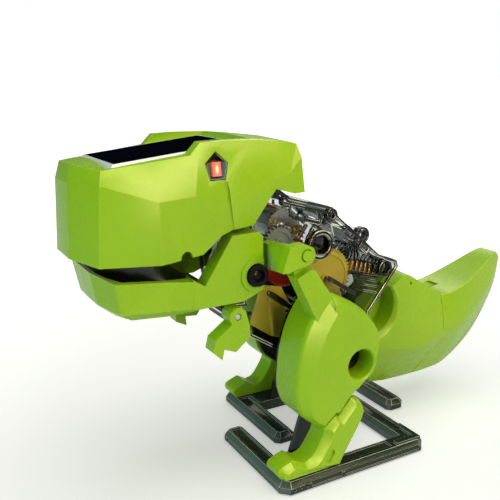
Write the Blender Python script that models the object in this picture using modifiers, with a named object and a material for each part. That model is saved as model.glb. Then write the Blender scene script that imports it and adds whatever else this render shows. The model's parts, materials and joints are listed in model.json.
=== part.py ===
"""Walking dinosaur robot kit: a geared walker with a solar panel in its head.

The toy faces -Y, its left side is +X and +Z is up.  The origin lies on the
ground straight below the crank shaft.  Sizes below are in millimetres and MM
turns them into Blender's metres.
"""
import math

import bmesh
import bpy
from mathutils import Matrix, Vector

MM = 0.001
GAP = 0.3                      # clearance left between neighbouring pieces

# crank shaft and legs
SHAFT = (0.6, 43.0)            # Y and Z of the crank shaft
CRANK_RADIUS = 8.2
SHAFT_RADIUS = 1.5
CRANK_X = (17.6, 19.9)         # crank arms, between gearbox and leg
LEG_PLATE_X = (20.3, 21.9)
THIGH_X = (22.2, 37.6)
SHIN_X = (28.0, 38.2)
PIN_RADIUS = 3.4
PIN_BORE = 3.8
HUB_RADIUS = 5.7               # round window in the thigh over the crank pin
TONGUE_X = (30.0, 33.1)
ARM_OUTER_X = 36.6
ROCKER_PLATE_X = (33.4, 37.2)
ROCKER_PIN = (-32.1, 86.9)
ROCKER_PIN_RADIUS = 1.9

# foot frames, measured from the crank pin
FOOT_FRONT = -33.8
FOOT_REAR = 33.7
FOOT_OUTER_X = 39.5
FOOT_CROSS_X = -8.0            # inner end of each rail, past the centre line
RAIL = 9.4
RAIL_HEIGHT = 4.6

# gearbox
GEARBOX_X = 16.5
WALL = 1.5
SPLIT = 0.15                   # half of the gap between the two halves

# gear train: module and tooth counts, from the motor to the crank shaft
FINE = 0.5
COARSE = 0.8
MOTOR_TEETH = 10
GREY_TEETH, GREY_PINION = 26, 10
RED_TEETH, RED_PINION = 40, 12
YELLOW_TEETH, YELLOW_PINION = 46, 10
IDLER_TEETH, IDLER_PINION = 25, 10
OUTPUT_TEETH = 26
AXLE_RADIUS = 0.8
GEAR_BORE = 1.05
RED_AXIS = (-19.0, 75.5)
MOTOR_RADIUS = 7.3
MOTOR_X = (-10.5, 1.5)
MOTOR_CAP_X = (-13.6, -10.8)

# jaw, arms and solar panel
JAW_PIVOT = (-43.5, 78.5)
JAW_PIN_RADIUS = 1.6
EAR_X = (17.2, 23.5)
SHOULDER = (-50.4, 64.2)
SHOULDER_PIN_RADIUS = 1.0
ARM_X = (17.0, 23.2)
RIGHT_ARM_TURN = 17            # degrees further back than the left arm
PANEL_HALF = 17.5
PANEL_FRONT = (-91.3, 118.0)   # top front edge of the panel
PANEL_REAR_Y = -44.6
PANEL_SLOPE = 0.113
PANEL_THICK = 2.2

COLOURS = {                    # colour, roughness, metallic
    "lime": ((0.26, 0.52, 0.03, 1), 0.38, 0.0),
    "smoke": ((0.03, 0.035, 0.035, 1), 0.12, 0.0),
    "black": ((0.012, 0.012, 0.014, 1), 0.3, 0.0),
    "yellow": ((0.52, 0.36, 0.03, 1), 0.45, 0.0),
    "red": ((0.22, 0.0, 0.006, 1), 0.4, 0.0),
    "grey": ((0.3, 0.37, 0.4, 1), 0.35, 0.0),
    "steel": ((0.55, 0.55, 0.56, 1), 0.25, 1.0),
    "cell": ((0.005, 0.007, 0.02, 1), 0.1, 0.0),
    "bezel": ((0.55, 0.68, 0.75, 1), 0.15, 0.0),
    "led": ((0.9, 0.12, 0.03, 1), 0.3, 0.0),
    "copper": ((0.35, 0.02, 0.02, 1), 0.45, 0.0),
}


def clear_scene():
    for item in list(bpy.data.objects):
        bpy.data.objects.remove(item, do_unlink=True)


def new_collection(name):
    collection = bpy.data.collections.new(name)
    bpy.context.scene.collection.children.link(collection)
    return collection


def material(name):
    if name in bpy.data.materials:
        return bpy.data.materials[name]
    colour, roughness, metallic = COLOURS[name]
    result = bpy.data.materials.new(name)
    result.use_nodes = True
    shader = result.node_tree.nodes["Principled BSDF"]
    shader.inputs["Base Color"].default_value = colour
    shader.inputs["Roughness"].default_value = roughness
    shader.inputs["Metallic"].default_value = metallic
    return result


# ---------------------------------------------------------------- outlines

def arc(centre, radius, start, end, steps):
    """Points on a circle from one angle to another, in degrees."""
    points = []
    for i in range(steps + 1):
        angle = math.radians(start + (end - start) * i / steps)
        points.append((centre[0] + radius * math.cos(angle), centre[1] + radius * math.sin(angle)))
    return points


def area(points):
    """Signed area of a closed outline; positive runs anticlockwise."""
    total = 0.0
    for a, b in zip(points, points[1:] + points[:1]):
        total += a[0] * b[1] - b[0] * a[1]
    return total / 2


def inset(points, distance):
    """The outline moved inwards by a distance, with its corners mitred."""
    turn = 1 if area(points) > 0 else -1
    result = []
    count = len(points)
    for i in range(count):
        before = Vector(points[i - 1])
        here = Vector(points[i])
        after = Vector(points[(i + 1) % count])
        first = (here - before).normalized()
        second = (after - here).normalized()
        normal = Vector((-first.y - second.y, first.x + second.x)) * turn
        scale = distance * 2 / max(normal.length_squared, 0.5)
        result.append(tuple(here + normal * scale))
    return result


# ------------------------------------------------------------------ solids

def mesh_object(name, bm, colour, collection, smooth_angle=None):
    """Turns a bmesh, drawn in millimetres, into a named object."""
    bmesh.ops.remove_doubles(bm, verts=bm.verts, dist=0.001)
    bmesh.ops.scale(bm, vec=(MM, MM, MM), verts=bm.verts)
    bmesh.ops.recalc_face_normals(bm, faces=bm.faces)
    mesh = bpy.data.meshes.new(name)
    bm.to_mesh(mesh)
    bm.free()
    if smooth_angle:
        mesh.shade_smooth()
        mesh.set_sharp_from_angle(angle=math.radians(smooth_angle))
    mesh.materials.append(material(colour))
    item = bpy.data.objects.new(name, mesh)
    collection.objects.link(item)
    return item


def rings_object(name, rings, colour, collection, smooth_angle=None):
    """A closed loft through rings that all have the same number of points."""
    bm = bmesh.new()
    loops = [[bm.verts.new(p) for p in ring] for ring in rings]
    for lower, upper in zip(loops, loops[1:]):
        for i in range(len(lower)):
            j = (i + 1) % len(lower)
            bm.faces.new((lower[i], lower[j], upper[j], upper[i]))
    bm.faces.new(loops[0][::-1])
    bm.faces.new(loops[-1])
    return mesh_object(name, bm, colour, collection, smooth_angle)


def plate(name, outline, x, colour, collection, smooth_angle=None):
    """A side view outline (Y, Z), extruded between two X positions."""
    rings = [[(at, y, z) for y, z in outline] for at in x]
    return rings_object(name, rings, colour, collection, smooth_angle)


def rod(name, centre, radius, x, colour, collection, sides=24):
    """A round bar along X at a (Y, Z) centre, standing on its own axis."""
    bm = bmesh.new()
    bmesh.ops.create_cone(bm, cap_ends=True, segments=sides, radius1=radius, radius2=radius,
                          depth=abs(x[1] - x[0]), matrix=Matrix.Rotation(math.pi / 2, 4, "Y"))
    item = mesh_object(name, bm, colour, collection, 40)
    item.location = Vector(((x[0] + x[1]) / 2, centre[0], centre[1])) * MM
    return item


def half_hull(name, columns, colour, collection, smooth_angle=None):
    """A symmetric hull from columns of points on the +X side.

    Every column runs from the centre line over the side and back to the
    centre line.  Each end is closed by strips that run straight across.
    """
    bm = bmesh.new()
    grid = [[bm.verts.new(p) for p in column] for column in columns]
    for left, right in zip(grid, grid[1:]):
        for i in range(len(left) - 1):
            bm.faces.new((left[i], left[i + 1], right[i + 1], right[i]))
    for end in (grid[0], grid[-1]):
        middle = [bm.verts.new((0, v.co.y, v.co.z)) for v in end]
        for i in range(len(end) - 1):
            bm.faces.new((end[i], end[i + 1], middle[i + 1], middle[i]))
    bmesh.ops.remove_doubles(bm, verts=bm.verts, dist=0.001)
    bmesh.ops.dissolve_degenerate(bm, dist=0.0001, edges=bm.edges)
    flat = [f for f in bm.faces if all(abs(v.co.x) < 0.001 for v in f.verts)]
    bmesh.ops.delete(bm, geom=flat, context="FACES")
    twin = bmesh.ops.duplicate(bm, geom=bm.verts[:] + bm.edges[:] + bm.faces[:])
    verts = [g for g in twin["geom"] if isinstance(g, bmesh.types.BMVert)]
    bmesh.ops.scale(bm, vec=(-1, 1, 1), verts=verts)
    return mesh_object(name, bm, colour, collection, smooth_angle)


def combine(item, tool, operation):
    """Adds a live Boolean and hides its tool."""
    modifier = item.modifiers.new(operation.lower(), "BOOLEAN")
    modifier.operation = operation
    modifier.object = tool
    modifier.solver = "EXACT"
    tool.hide_render = True
    tool.display_type = "WIRE"


def cut(item, *tools):
    for tool in tools:
        combine(item, tool, "DIFFERENCE")


def join(item, *tools):
    for tool in tools:
        combine(item, tool, "UNION")


def bevel(item, width, angle=35, segments=1):
    modifier = item.modifiers.new("bevel", "BEVEL")
    modifier.width = width * MM
    modifier.segments = segments
    modifier.limit_method = "ANGLE"
    modifier.angle_limit = math.radians(angle)


def twin(item, name, shift_y=0.0):
    """The same piece for the other side: mirrored in X, then moved along Y."""
    bpy.context.view_layer.update()
    evaluated = item.evaluated_get(bpy.context.evaluated_depsgraph_get())
    mesh = bpy.data.meshes.new_from_object(evaluated)
    mirror = Matrix.Translation((0, shift_y * MM, 0)) @ Matrix.Diagonal((-1, 1, 1, 1))
    mesh.transform(mirror @ item.matrix_world)
    mesh.flip_normals()
    other = bpy.data.objects.new(name, mesh)
    item.users_collection[0].objects.link(other)
    return other


def turned_twin(item, name, centre, degrees):
    """A mirrored copy, also turned about an X axis through a (Y, Z) centre."""
    pivot = Vector((0, centre[0], centre[1])) * MM
    turn = Matrix.Rotation(math.radians(degrees), 4, "X")
    other = twin(item, name)
    other.data.transform(Matrix.Translation(pivot) @ turn @ Matrix.Translation(-pivot))
    return other


def hinge_empty(name, x, y, z):
    """Marks a joint's axis; the pieces that turn on it are its children."""
    empty = bpy.data.objects.new(name, None)
    bpy.context.scene.collection.objects.link(empty)
    empty.location = Vector((x, y, z)) * MM
    return empty


def hang(empty, *items):
    """Parents pieces to an empty without moving them."""
    bpy.context.view_layer.update()
    for item in items:
        item.parent = empty
        item.matrix_parent_inverse = empty.matrix_world.inverted()


# ------------------------------------------------------------------- gears

def tooth_outline(teeth, module, phase):
    """One gear's outline; phase is the angle, in degrees, of a tooth's middle."""
    pitch = teeth * module / 2
    levels = ((pitch - 1.15 * module, 0.29), (pitch + 0.78 * module, 0.09))
    points = []
    for tooth in range(teeth):
        middle = math.radians(phase) + 2 * math.pi * tooth / teeth
        step = 2 * math.pi / teeth
        for radius, share in (levels[0], levels[1], levels[1], levels[0]):
            side = -1 if len(points) % 4 < 2 else 1
            angle = middle + side * share * step
            points.append((radius * math.cos(angle), radius * math.sin(angle)))
    return points


def gear(name, centre, wheels, colour, collection, tools, bore=GEAR_BORE):
    """A compound gear: wheels is a list of (teeth, module, phase, x0, x1)."""
    parts = []
    for index, (teeth, module, phase, x0, x1) in enumerate(wheels):
        owner = collection if index == 0 else tools
        label = name if index == 0 else name + "_pinion"
        part = plate(label, tooth_outline(teeth, module, phase), (x0, x1), colour, owner)
        part.location = (0, centre[0] * MM, centre[1] * MM)
        parts.append(part)
    if len(parts) > 1:
        join(parts[0], parts[1])
    span = (wheels[-1][3] - 20, wheels[-1][4] + 20)
    cut(parts[0], rod(name + "_bore", centre, bore, span, colour, tools, 16))
    return parts[0]


def angle_to(a, b):
    return math.degrees(math.atan2(b[1] - a[1], b[0] - a[0]))


def meshed_phase(driver, driver_teeth, driver_phase, follower, follower_teeth):
    """The phase that puts a follower's gap where the driver's tooth stands."""
    line = angle_to(driver, follower)
    driver_step = 360 / driver_teeth
    follower_step = 360 / follower_teeth
    offset = ((line - driver_phase) / driver_step) % 1
    back = line + 180
    return back + (0.5 + offset) * follower_step


def step_away(start, distance, degrees):
    angle = math.radians(degrees)
    return (start[0] + distance * math.cos(angle), start[1] + distance * math.sin(angle))


def gear_centres():
    """Axle positions (Y, Z), each at its true centre distance."""
    red = RED_AXIS
    grey = step_away(red, FINE * (RED_TEETH + GREY_PINION) / 2, 131)
    motor = step_away(grey, FINE * (GREY_TEETH + MOTOR_TEETH) / 2, 22)
    yellow = step_away(red, FINE * (YELLOW_TEETH + RED_PINION) / 2, -27.7)
    first = COARSE * (YELLOW_PINION + IDLER_TEETH) / 2
    second = COARSE * (IDLER_PINION + OUTPUT_TEETH) / 2
    apart = math.dist(yellow, SHAFT)
    along = (first ** 2 - second ** 2 + apart ** 2) / (2 * apart)
    corner = math.degrees(math.acos(along / first))
    idler = step_away(yellow, first, angle_to(yellow, SHAFT) - corner)
    return {"motor": motor, "grey": grey, "red": red, "yellow": yellow, "idler": idler, "output": SHAFT}


def build_gears(parts, tools):
    at = gear_centres()
    output_phase = 0.0
    idler_small = meshed_phase(at["output"], OUTPUT_TEETH, output_phase, at["idler"], IDLER_PINION)
    yellow_small = meshed_phase(at["idler"], IDLER_TEETH, 0.0, at["yellow"], YELLOW_PINION)
    red_small = meshed_phase(at["yellow"], YELLOW_TEETH, 0.0, at["red"], RED_PINION)
    grey_small = meshed_phase(at["red"], RED_TEETH, 0.0, at["grey"], GREY_PINION)
    motor_small = meshed_phase(at["grey"], GREY_TEETH, 0.0, at["motor"], MOTOR_TEETH)
    output = gear("output_gear", at["output"], [(OUTPUT_TEETH, COARSE, output_phase, 2, 4)],
                  "grey", parts, tools, SHAFT_RADIUS + 0.25)
    idler = gear("idler_gear", at["idler"], [(IDLER_TEETH, COARSE, 0.0, 6, 8),
                 (IDLER_PINION, COARSE, idler_small, 2, 7)], "grey", parts, tools)
    yellow = gear("yellow_gear", at["yellow"], [(YELLOW_TEETH, FINE, 0.0, 10, 12),
                  (YELLOW_PINION, COARSE, yellow_small, 6, 11)], "yellow", parts, tools)
    red = gear("red_gear", at["red"], [(RED_TEETH, FINE, 0.0, 2.4, 4.2),
               (RED_PINION, FINE, red_small, 3.5, 12)], "red", parts, tools)
    grey = gear("grey_gear", at["grey"], [(GREY_TEETH, FINE, 0.0, 10, 12),
                (GREY_PINION, FINE, grey_small, 2.4, 11)], "grey", parts, tools)
    pinion = gear("motor_pinion", at["motor"], [(MOTOR_TEETH, FINE, motor_small, 9.4, 12.2)],
                  "steel", parts, tools)
    for name, item in (("output", output), ("idler", idler), ("yellow", yellow),
                       ("red", red), ("grey", grey), ("motor", pinion)):
        if name != "output":
            hang(hinge_empty(name + "_axis", 0, *at[name]), item)
    for name in ("idler", "yellow", "red", "grey"):
        reach = (1.0, 16.3) if name == "grey" else (-16.3, 16.3)
        rod(name + "_axle", at[name], AXLE_RADIUS, reach, "steel", parts, 12)
    return at, output


def build_motor(at, parts, tools):
    """A small round motor; its shaft carries the pinion."""
    centre = at["motor"]
    can = rod("motor_can", centre, MOTOR_RADIUS, MOTOR_X, "steel", parts, 32)
    shaft = rod("motor_shaft", centre, 0.75, (1.0, 12.6), "steel", tools, 12)
    boss = rod("motor_boss", centre, 1.6, (1.0, 2.6), "steel", tools, 16)
    join(can, boss, shaft)
    cap = rod("motor_end_cap", centre, MOTOR_RADIUS, MOTOR_CAP_X, "black", parts, 32)
    bevel(cap, 0.8)


# ----------------------------------------------------------------- gearbox

# side view of the gearbox, Y and Z
GEARBOX = [
    (-45.6, 70.0), (-44.6, 66.4), (-50.4, 66.9), (-52.9, 64.2), (-50.4, 61.5), (-43.9, 61.0),
    (-42.3, 53.4), (-28.5, 44.6), (-17.5, 40.0), (-13.0, 33.5), (-5.0, 29.6), (6.0, 29.6),
    (12.8, 34.2), (13.7, 42.0), (12.4, 53.5), (26.0, 70.2), (25.2, 73.0), (22.2, 74.2), (15.6, 76.8),
    (-4.2, 93.6), (-7.2, 97.6), (-26.0, 102.8), (-30.8, 106.2), (-36.5, 107.2), (-46.5, 105.0),
    (-48.5, 98.0), (-47.0, 84.0),
]
BOSS = (-12.0, 83.5)            # round boss on each half's outer face
BOSS_RADIUS = 4.6
WELL_RADIUS = 3.4               # shallow recess in the boss
DRUM = (19.5, 70.2)             # post that the tail plugs on to
DRUM_RADIUS = 3.0
LUG = (22.4, 79.6)              # spare mounting ring behind the sloping back
LUG_RADIUS = 3.4
LUG_BORE = 1.5
LUG_X = (-4.6, -1.8)
# strut from the sloping back to the ring
LUG_ARM = [(8.6, 80.6), (10.2, 84.4), (15.6, 84.2), (22.0, 82.6), (24.6, 77.6), (20.6, 74.4), (16.0, 75.2)]
WINDOWS = ((1.2, 89.0), (9.6, 81.9))   # openings in the sloping back
SLOPE = -40.3                   # degrees, the back wall's fall
# Y and Z of the gearbox's screws
SCREWS = ((-40.0, 58.0), (-24.0, 47.8), (6.4, 75.2), (-41.0, 98.0))


def build_gearbox(at, parts, tools):
    """Two clear half shells with a boss ring, ribs and a bumper bar."""
    cavity = inset(GEARBOX, WALL)
    halves = []
    for side, name in ((1, "left"), (-1, "right")):
        shell = plate("gearbox_" + name, GEARBOX, (side * SPLIT, side * GEARBOX_X), "smoke", parts)
        hollow = plate("hollow_" + name, cavity, (-side, side * (GEARBOX_X - WALL)), "smoke", tools)
        outer = side * GEARBOX_X
        ring = rod("boss_" + name, BOSS, BOSS_RADIUS, (outer - side, outer + side * 0.9), "smoke", tools, 28)
        depth = (outer - side * 0.6, outer + side * 3)
        well = rod("well_" + name, BOSS, WELL_RADIUS, depth, "smoke", tools, 24)
        reach = (side * 3, outer + side * 0.8)
        cylinder = rod("drum_" + name, DRUM, DRUM_RADIUS, reach, "smoke", tools, 20)
        cut(shell, hollow)
        join(shell, ring, cylinder)
        holes = [well]
        if side < 0:
            join(shell, plate("lug_arm", LUG_ARM, LUG_X, "smoke", tools))
            join(shell, rod("lug_ring", LUG, LUG_RADIUS, LUG_X, "smoke", tools, 24))
            holes.append(rod("lug_bore", LUG, LUG_BORE, (-8, 1), "smoke", tools, 16))
        for axis in ("idler", "yellow", "red"):
            holes.append(axle_hole(axis + name, at[axis], AXLE_RADIUS + 0.25, side, tools))
        if side > 0:
            holes.append(axle_hole("grey" + name, at["grey"], AXLE_RADIUS + 0.25, side, tools))
        holes.append(axle_hole("shaft" + name, at["output"], SHAFT_RADIUS + 0.35, side, tools))
        holes.append(axle_hole("jaw" + name, JAW_PIVOT, JAW_PIN_RADIUS + 0.25, side, tools))
        shoulder = rod("shoulder_" + name, SHOULDER, SHOULDER_PIN_RADIUS + 0.25, (side * -1, side * 20),
                       "smoke", tools, 16)
        holes.append(shoulder)
        for index, (y, z) in enumerate(WINDOWS):
            holes.append(slope_window(f"window_{name}_{index}", y, z, side, tools))
        slot = box("wire_slot_" + name, (side * -1, side * 6), (-52, -40), (99.5, 103.5), tools)
        holes.append(slot)
        cut(shell, *holes)
        halves.append(shell)
    return halves


def axle_hole(name, centre, radius, side, tools):
    return rod("hole_" + name, centre, radius, (side * 13, side * 20), "smoke", tools, 16)


def box(name, x, y, z, tools):
    rings = [[(at, y[0], z[0]), (at, y[1], z[0]), (at, y[1], z[1]), (at, y[0], z[1])] for at in x]
    return rings_object(name, rings, "smoke", tools)


def slope_window(name, y, z, side, tools):
    """An opening through the sloping back wall."""
    item = box(name, (3, 13), (-2.6, 2.6), (-4, 4), tools)
    item.rotation_euler = (math.radians(SLOPE), 0, 0)
    item.location = Vector((0, y, z)) * MM
    if side < 0:
        item.location.x = -16 * MM
    return item


def build_screws(parts, tools):
    """Four screws close the gearbox from its right side."""
    for index, (y, z) in enumerate(SCREWS):
        head = rod(f"gearbox_screw_{index + 1}", (y, z), 1.7, (-17.9, -16.8), "steel", parts, 16)
        join(head, rod(f"thread_{index + 1}", (y, z), 0.7, (-17.2, -9.0), "steel", tools, 12))
        yield rod(f"screw_hole_{index + 1}", (y, z), 0.95, (-20, -13), "smoke", tools, 12)


# -------------------------------------------------------------------- head

def panel_floor(y, below):
    """Height of a plane parallel to the panel's top, some distance below it."""
    return PANEL_FRONT[1] + PANEL_SLOPE * (y - PANEL_FRONT[0]) - below


def head_columns():
    """Bottom edge, crease, shoulder, rim and channel floor, front to back."""
    lip = 17.9
    low = PANEL_THICK + GAP
    rows = [
        ((0, -103.0, 88.4), (0, -102.2, 112.2), (0, -100.6, 117.9), (0, -92.4, 118.6), -92.4),
        ((7.5, -102.8, 88.1), (7.5, -101.9, 112.2), (7.3, -100.3, 117.7), (7.3, -92.4, 118.3), -92.4),
        ((19.8, -96.9, 87.0), (19.6, -95.4, 112.6), (18.9, -94.6, 116.8), (lip, -92.4, 117.2), -92.4),
        ((25.6, -78.5, 87.0), (25.6, -79.0, 107.0), (20.6, -79.0, 118.7), (lip, -79.0, 118.9), -79.0),
        ((24.9, -64.0, 88.5), (25.1, -66.4, 107.8), (21.9, -66.6, 120.2), (lip, -66.8, 120.4), -66.8),
        ((24.6, -57.0, 94.0), (24.9, -62.5, 108.1), (21.5, -63.0, 124.0), (lip, -63.2, 124.2), -63.2),
        ((24.3, -53.0, 95.3), (24.6, -55.0, 108.6), (21.4, -54.0, 124.3), (lip, -54.0, 124.5), -54.0),
        ((23.6, -44.5, 96.0), (24.0, -45.0, 109.8), (21.2, -44.4, 124.1), (lip, -44.3, 124.4), -44.3),
        ((23.5, -43.2, 97.7), (23.8, -43.4, 110.0), (21.1, -43.2, 124.1), (lip, -43.4, 124.4), None),
        ((22.9, -35.5, 107.3), (23.1, -36.0, 111.1), (20.9, -36.0, 123.5), (17.0, -36.0, 123.8), None),
        ((22.3, -27.5, 105.0), (22.4, -29.5, 112.6), (20.5, -29.5, 122.7), (17.0, -29.5, 123.0), None),
        ((22.0, -23.2, 105.2), (21.6, -24.6, 117.6), (20.1, -25.8, 121.9), (17.0, -25.8, 122.2), None),
    ]
    columns = []
    for bottom, crease, shoulder, rim, floor_y in rows:
        if floor_y is None:
            inner = (rim[0] * 0.98, rim[1], rim[2] + 0.01)
            top = (0, rim[1], rim[2] + 0.5)
        else:
            inner = (min(rim[0], lip), floor_y, panel_floor(floor_y, low))
            top = (0, floor_y, panel_floor(floor_y, low))
        columns.append([(0, bottom[1], bottom[2]), bottom, crease, shoulder, rim, inner, top])
    return columns


def head_cavity():
    """The space inside the head; it stays clear of the panel's channel."""
    rows = [
        ((0, -101.2, 113.0), (0, -101.2, 113.0)),
        ((8.0, -100.8, 110.5), (8.0, -99.5, 113.0)),
        ((17.9, -94.6, 110.5), (16.6, -92.5, 112.6)),
        ((23.4, -78.6, 106.3), (16.6, -79.0, 114.6)),
        ((22.8, -64.0, 106.8), (16.4, -64.0, 116.6)),
        ((21.6, -44.5, 108.6), (16.2, -44.5, 119.1)),
        ((20.9, -36.0, 109.6), (17.4, -36.0, 120.6)),
        ((20.0, -27.6, 111.0), (16.6, -27.6, 119.6)),
    ]
    columns = []
    for side, top in rows:
        columns.append([(0, side[1], 80), (side[0], side[1], 80), side, top, (0, top[1], top[2])])
    return columns


def build_head(parts, tools):
    shell = half_hull("head_shell", head_columns(), "lime", parts)
    cut(shell, half_hull("head_hollow", head_cavity(), "lime", tools))
    for side in (1, -1):
        cut(shell, rod(f"notch_{side}", (-69.8, 88.2), 2.1, (side * 15, side * 30), "lime", tools, 20))
        cut(shell, eye_prism(f"eye_socket_{side}", side, 1.07, (-4.0, 4.0), "black", tools))
    return shell


def build_palate(parts, tools):
    """Black plate across the underside of the head, with a stop peg."""
    columns = []
    for half, y in ((7.0, -99.0), (16.6, -93.0), (21.8, -79.0), (21.2, -62.0), (20.6, -52.0)):
        z = 92.5 if y < -63 else 96.5
        columns.append([(0, y, z), (half, y, z), (half, y, z + 1.6), (0, y, z + 1.6)])
    palate = half_hull("palate", columns, "black", parts)
    bm = bmesh.new()
    bmesh.ops.create_cone(bm, cap_ends=True, segments=12, radius1=1.0, radius2=1.2, depth=8.0)
    peg = mesh_object("stop_peg", bm, "black", tools)
    peg.location = Vector((14.0, -82.0, 89.5)) * MM
    join(palate, peg)
    return palate


EYE_CENTRE = (22.75, -57.9, 116.2)
EYE_TILT = 10.8
EYE_SHAPE = ((0.0, 4.7), (3.9, 1.1), (2.7, -4.1), (-2.7, -4.1), (-3.9, 1.1))


def eye_prism(name, side, scale, depth, colour, collection, outline=EYE_SHAPE):
    """A prism on the tilted plane of the head's shoulder."""
    rings = [[(at, y * scale, z * scale) for y, z in outline] for at in depth]
    item = rings_object(name, rings, colour, collection)
    item.location = Vector((side * EYE_CENTRE[0], EYE_CENTRE[1], EYE_CENTRE[2])) * MM
    item.rotation_euler = (0, math.radians(-side * EYE_TILT), 0)
    return item


def build_eyes(parts, tools):
    square = ((-1.5, -3.0), (1.5, -3.0), (1.5, 1.6), (-1.5, 1.6))
    for side, name in ((1, "left"), (-1, "right")):
        lens = eye_prism("eye_lens_" + name, side, 1.0, (side * -2.2, side * 0.15), "grey", parts)
        pocket = eye_prism("led_pocket_" + name, side, 1.18, (side * -1.2, side * 2.0), "grey", tools, square)
        cut(lens, pocket)
        eye_prism("eye_led_" + name, side, 1.0, (side * -0.9, side * 0.3), "led", parts, square)


def build_panel(parts, tools):
    """The panel's frame with a bevelled edge, and the dark cell set into it."""
    def layer(below, margin, front_extra=0.0):
        y0 = PANEL_FRONT[0] + margin + front_extra
        y1 = PANEL_REAR_Y - margin
        half = PANEL_HALF - margin
        return [(half, y0, panel_floor(y0, below)), (half, y1, panel_floor(y1, below)),
                (-half, y1, panel_floor(y1, below)), (-half, y0, panel_floor(y0, below))]
    frame = rings_object("panel_frame", [layer(PANEL_THICK, 0), layer(1.3, 0), layer(0, 1.5)], "bezel", parts)
    cut(frame, rings_object("cell_recess", [layer(1.1, 2.0), layer(-1.0, 2.0)], "bezel", tools))
    rings_object("solar_cell", [layer(0.8, 2.3), layer(-0.05, 2.3)], "cell", parts)


def build_wires(parts):
    """Two wires from the panel down to the motor."""
    for name, colour, x in (("wire_red", "copper", 2.2), ("wire_black", "black", -2.2)):
        data = bpy.data.curves.new(name, "CURVE")
        data.dimensions = "3D"
        data.bevel_depth = 0.55 * MM
        data.bevel_resolution = 1
        data.use_fill_caps = True
        spline = data.splines.new("POLY")
        route = [(x, -66, 113.2), (x, -60, 109.5), (x, -54, 104.2), (x, -48, 101.5), (x, -40, 101.3),
                 (x * 1.6, -30, 99.0), (x * 1.8, -24, 96.6)]
        spline.points.add(len(route) - 1)
        for point, place in zip(spline.points, route):
            point.co = (*(Vector(place) * MM), 1)
        wire = bpy.data.objects.new(name, data)
        parts.objects.link(wire)
        data.materials.append(material(colour))


# --------------------------------------------------------------------- jaw

JAW_EAR = [
    (-67.0, 80.1), (-64.6, 77.4), (-62.8, 77.4), (-52.6, 93.2), (-42.6, 93.5), (-40.9, 91.6),
    (-40.7, 78.0), (-42.6, 72.0), (-48.5, 69.7), (-60.0, 69.6), (-67.0, 69.7),
]


def build_jaw(parts, tools):
    """A tray with two ears that hang on the jaw's pivot pins."""
    columns = [
        [(0, -89.5, 67.4), (0, -89.5, 67.4), (0, -95.6, 72.4), (0, -98.0, 84.2), (0, -98.0, 84.2)],
        [(0, -89.5, 67.4), (9.6, -89.2, 67.4), (10.0, -95.2, 72.2), (10.4, -97.6, 83.8), (0, -97.6, 83.8)],
        [(0, -86.0, 67.6), (17.6, -86.6, 67.8), (20.6, -91.0, 71.0), (21.6, -92.8, 81.7), (0, -92.8, 81.7)],
        [(0, -76.0, 68.2), (20.8, -76.0, 68.2), (23.1, -76.0, 70.6), (23.5, -76.0, 80.6), (0, -76.0, 80.6)],
        [(0, -66.0, 68.6), (21.6, -66.0, 68.6), (23.4, -66.0, 70.0), (23.5, -66.0, 79.2), (0, -66.0, 79.2)],
        [(0, -62.5, 69.0), (21.8, -62.5, 69.0), (23.4, -62.5, 70.2), (23.5, -62.5, 76.9), (0, -62.5, 76.9)],
        [(0, -53.0, 69.6), (21.8, -53.0, 69.6), (23.3, -53.0, 70.2), (23.3, -53.0, 76.0), (0, -53.0, 76.0)],
    ]
    hollow = [
        [(0, -93.6, 73.0), (0, -93.6, 73.0), (0, -96.9, 92.0), (0, -96.9, 92.0)],
        [(0, -93.4, 73.0), (9.0, -93.2, 73.0), (9.4, -96.4, 92.0), (0, -96.4, 92.0)],
        [(0, -89.0, 71.6), (18.8, -89.4, 71.6), (19.6, -90.6, 92.0), (0, -90.6, 92.0)],
        [(0, -76.0, 71.0), (21.0, -76.0, 71.0), (21.2, -76.0, 92.0), (0, -76.0, 92.0)],
        [(0, -62.5, 71.4), (17.0, -62.5, 71.4), (17.0, -62.5, 92.0), (0, -62.5, 92.0)],
        [(0, -50.0, 71.4), (17.0, -50.0, 71.4), (17.0, -50.0, 92.0), (0, -50.0, 92.0)],
    ]
    jaw = half_hull("jaw", columns, "lime", parts)
    cut(jaw, half_hull("jaw_hollow", hollow, "lime", tools))
    for side in (1, -1):
        span = (side * EAR_X[0], side * EAR_X[1])
        join(jaw, plate(f"ear_{side}", JAW_EAR, span, "lime", tools))
        ring = arc(JAW_PIVOT, 6.0, 64, 296, 20)
        join(jaw, plate(f"ear_ring_{side}", ring, (side * 20, side * 24.1), "lime", tools))
        cut(jaw, rod(f"ear_bore_{side}", JAW_PIVOT, 4.2, (side * 22.0, side * 30), "lime", tools, 28))
        bore = JAW_PIN_RADIUS + GAP
        cut(jaw, rod(f"pin_bore_{side}", JAW_PIVOT, bore, (side * 10, side * 30), "lime", tools, 20))
    hang(hinge_empty("jaw_axis", 0, *JAW_PIVOT), jaw)
    return jaw


def build_jaw_pins(parts, tools):
    """Black pins that hold the jaw's ears to the gearbox."""
    for side, name in ((1, "left"), (-1, "right")):
        pin = rod("jaw_pin_" + name, JAW_PIVOT, 3.8, (side * 22.4, side * 25.4), "black", parts, 28)
        join(pin, rod("jaw_pin_stem_" + name, JAW_PIVOT, JAW_PIN_RADIUS, (side * 14.0, side * 23.0),
                      "black", tools, 20))
        cut(pin, rod("jaw_pin_dimple_" + name, JAW_PIVOT, 2.3, (side * 24.3, side * 27), "black", tools, 20))


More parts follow.
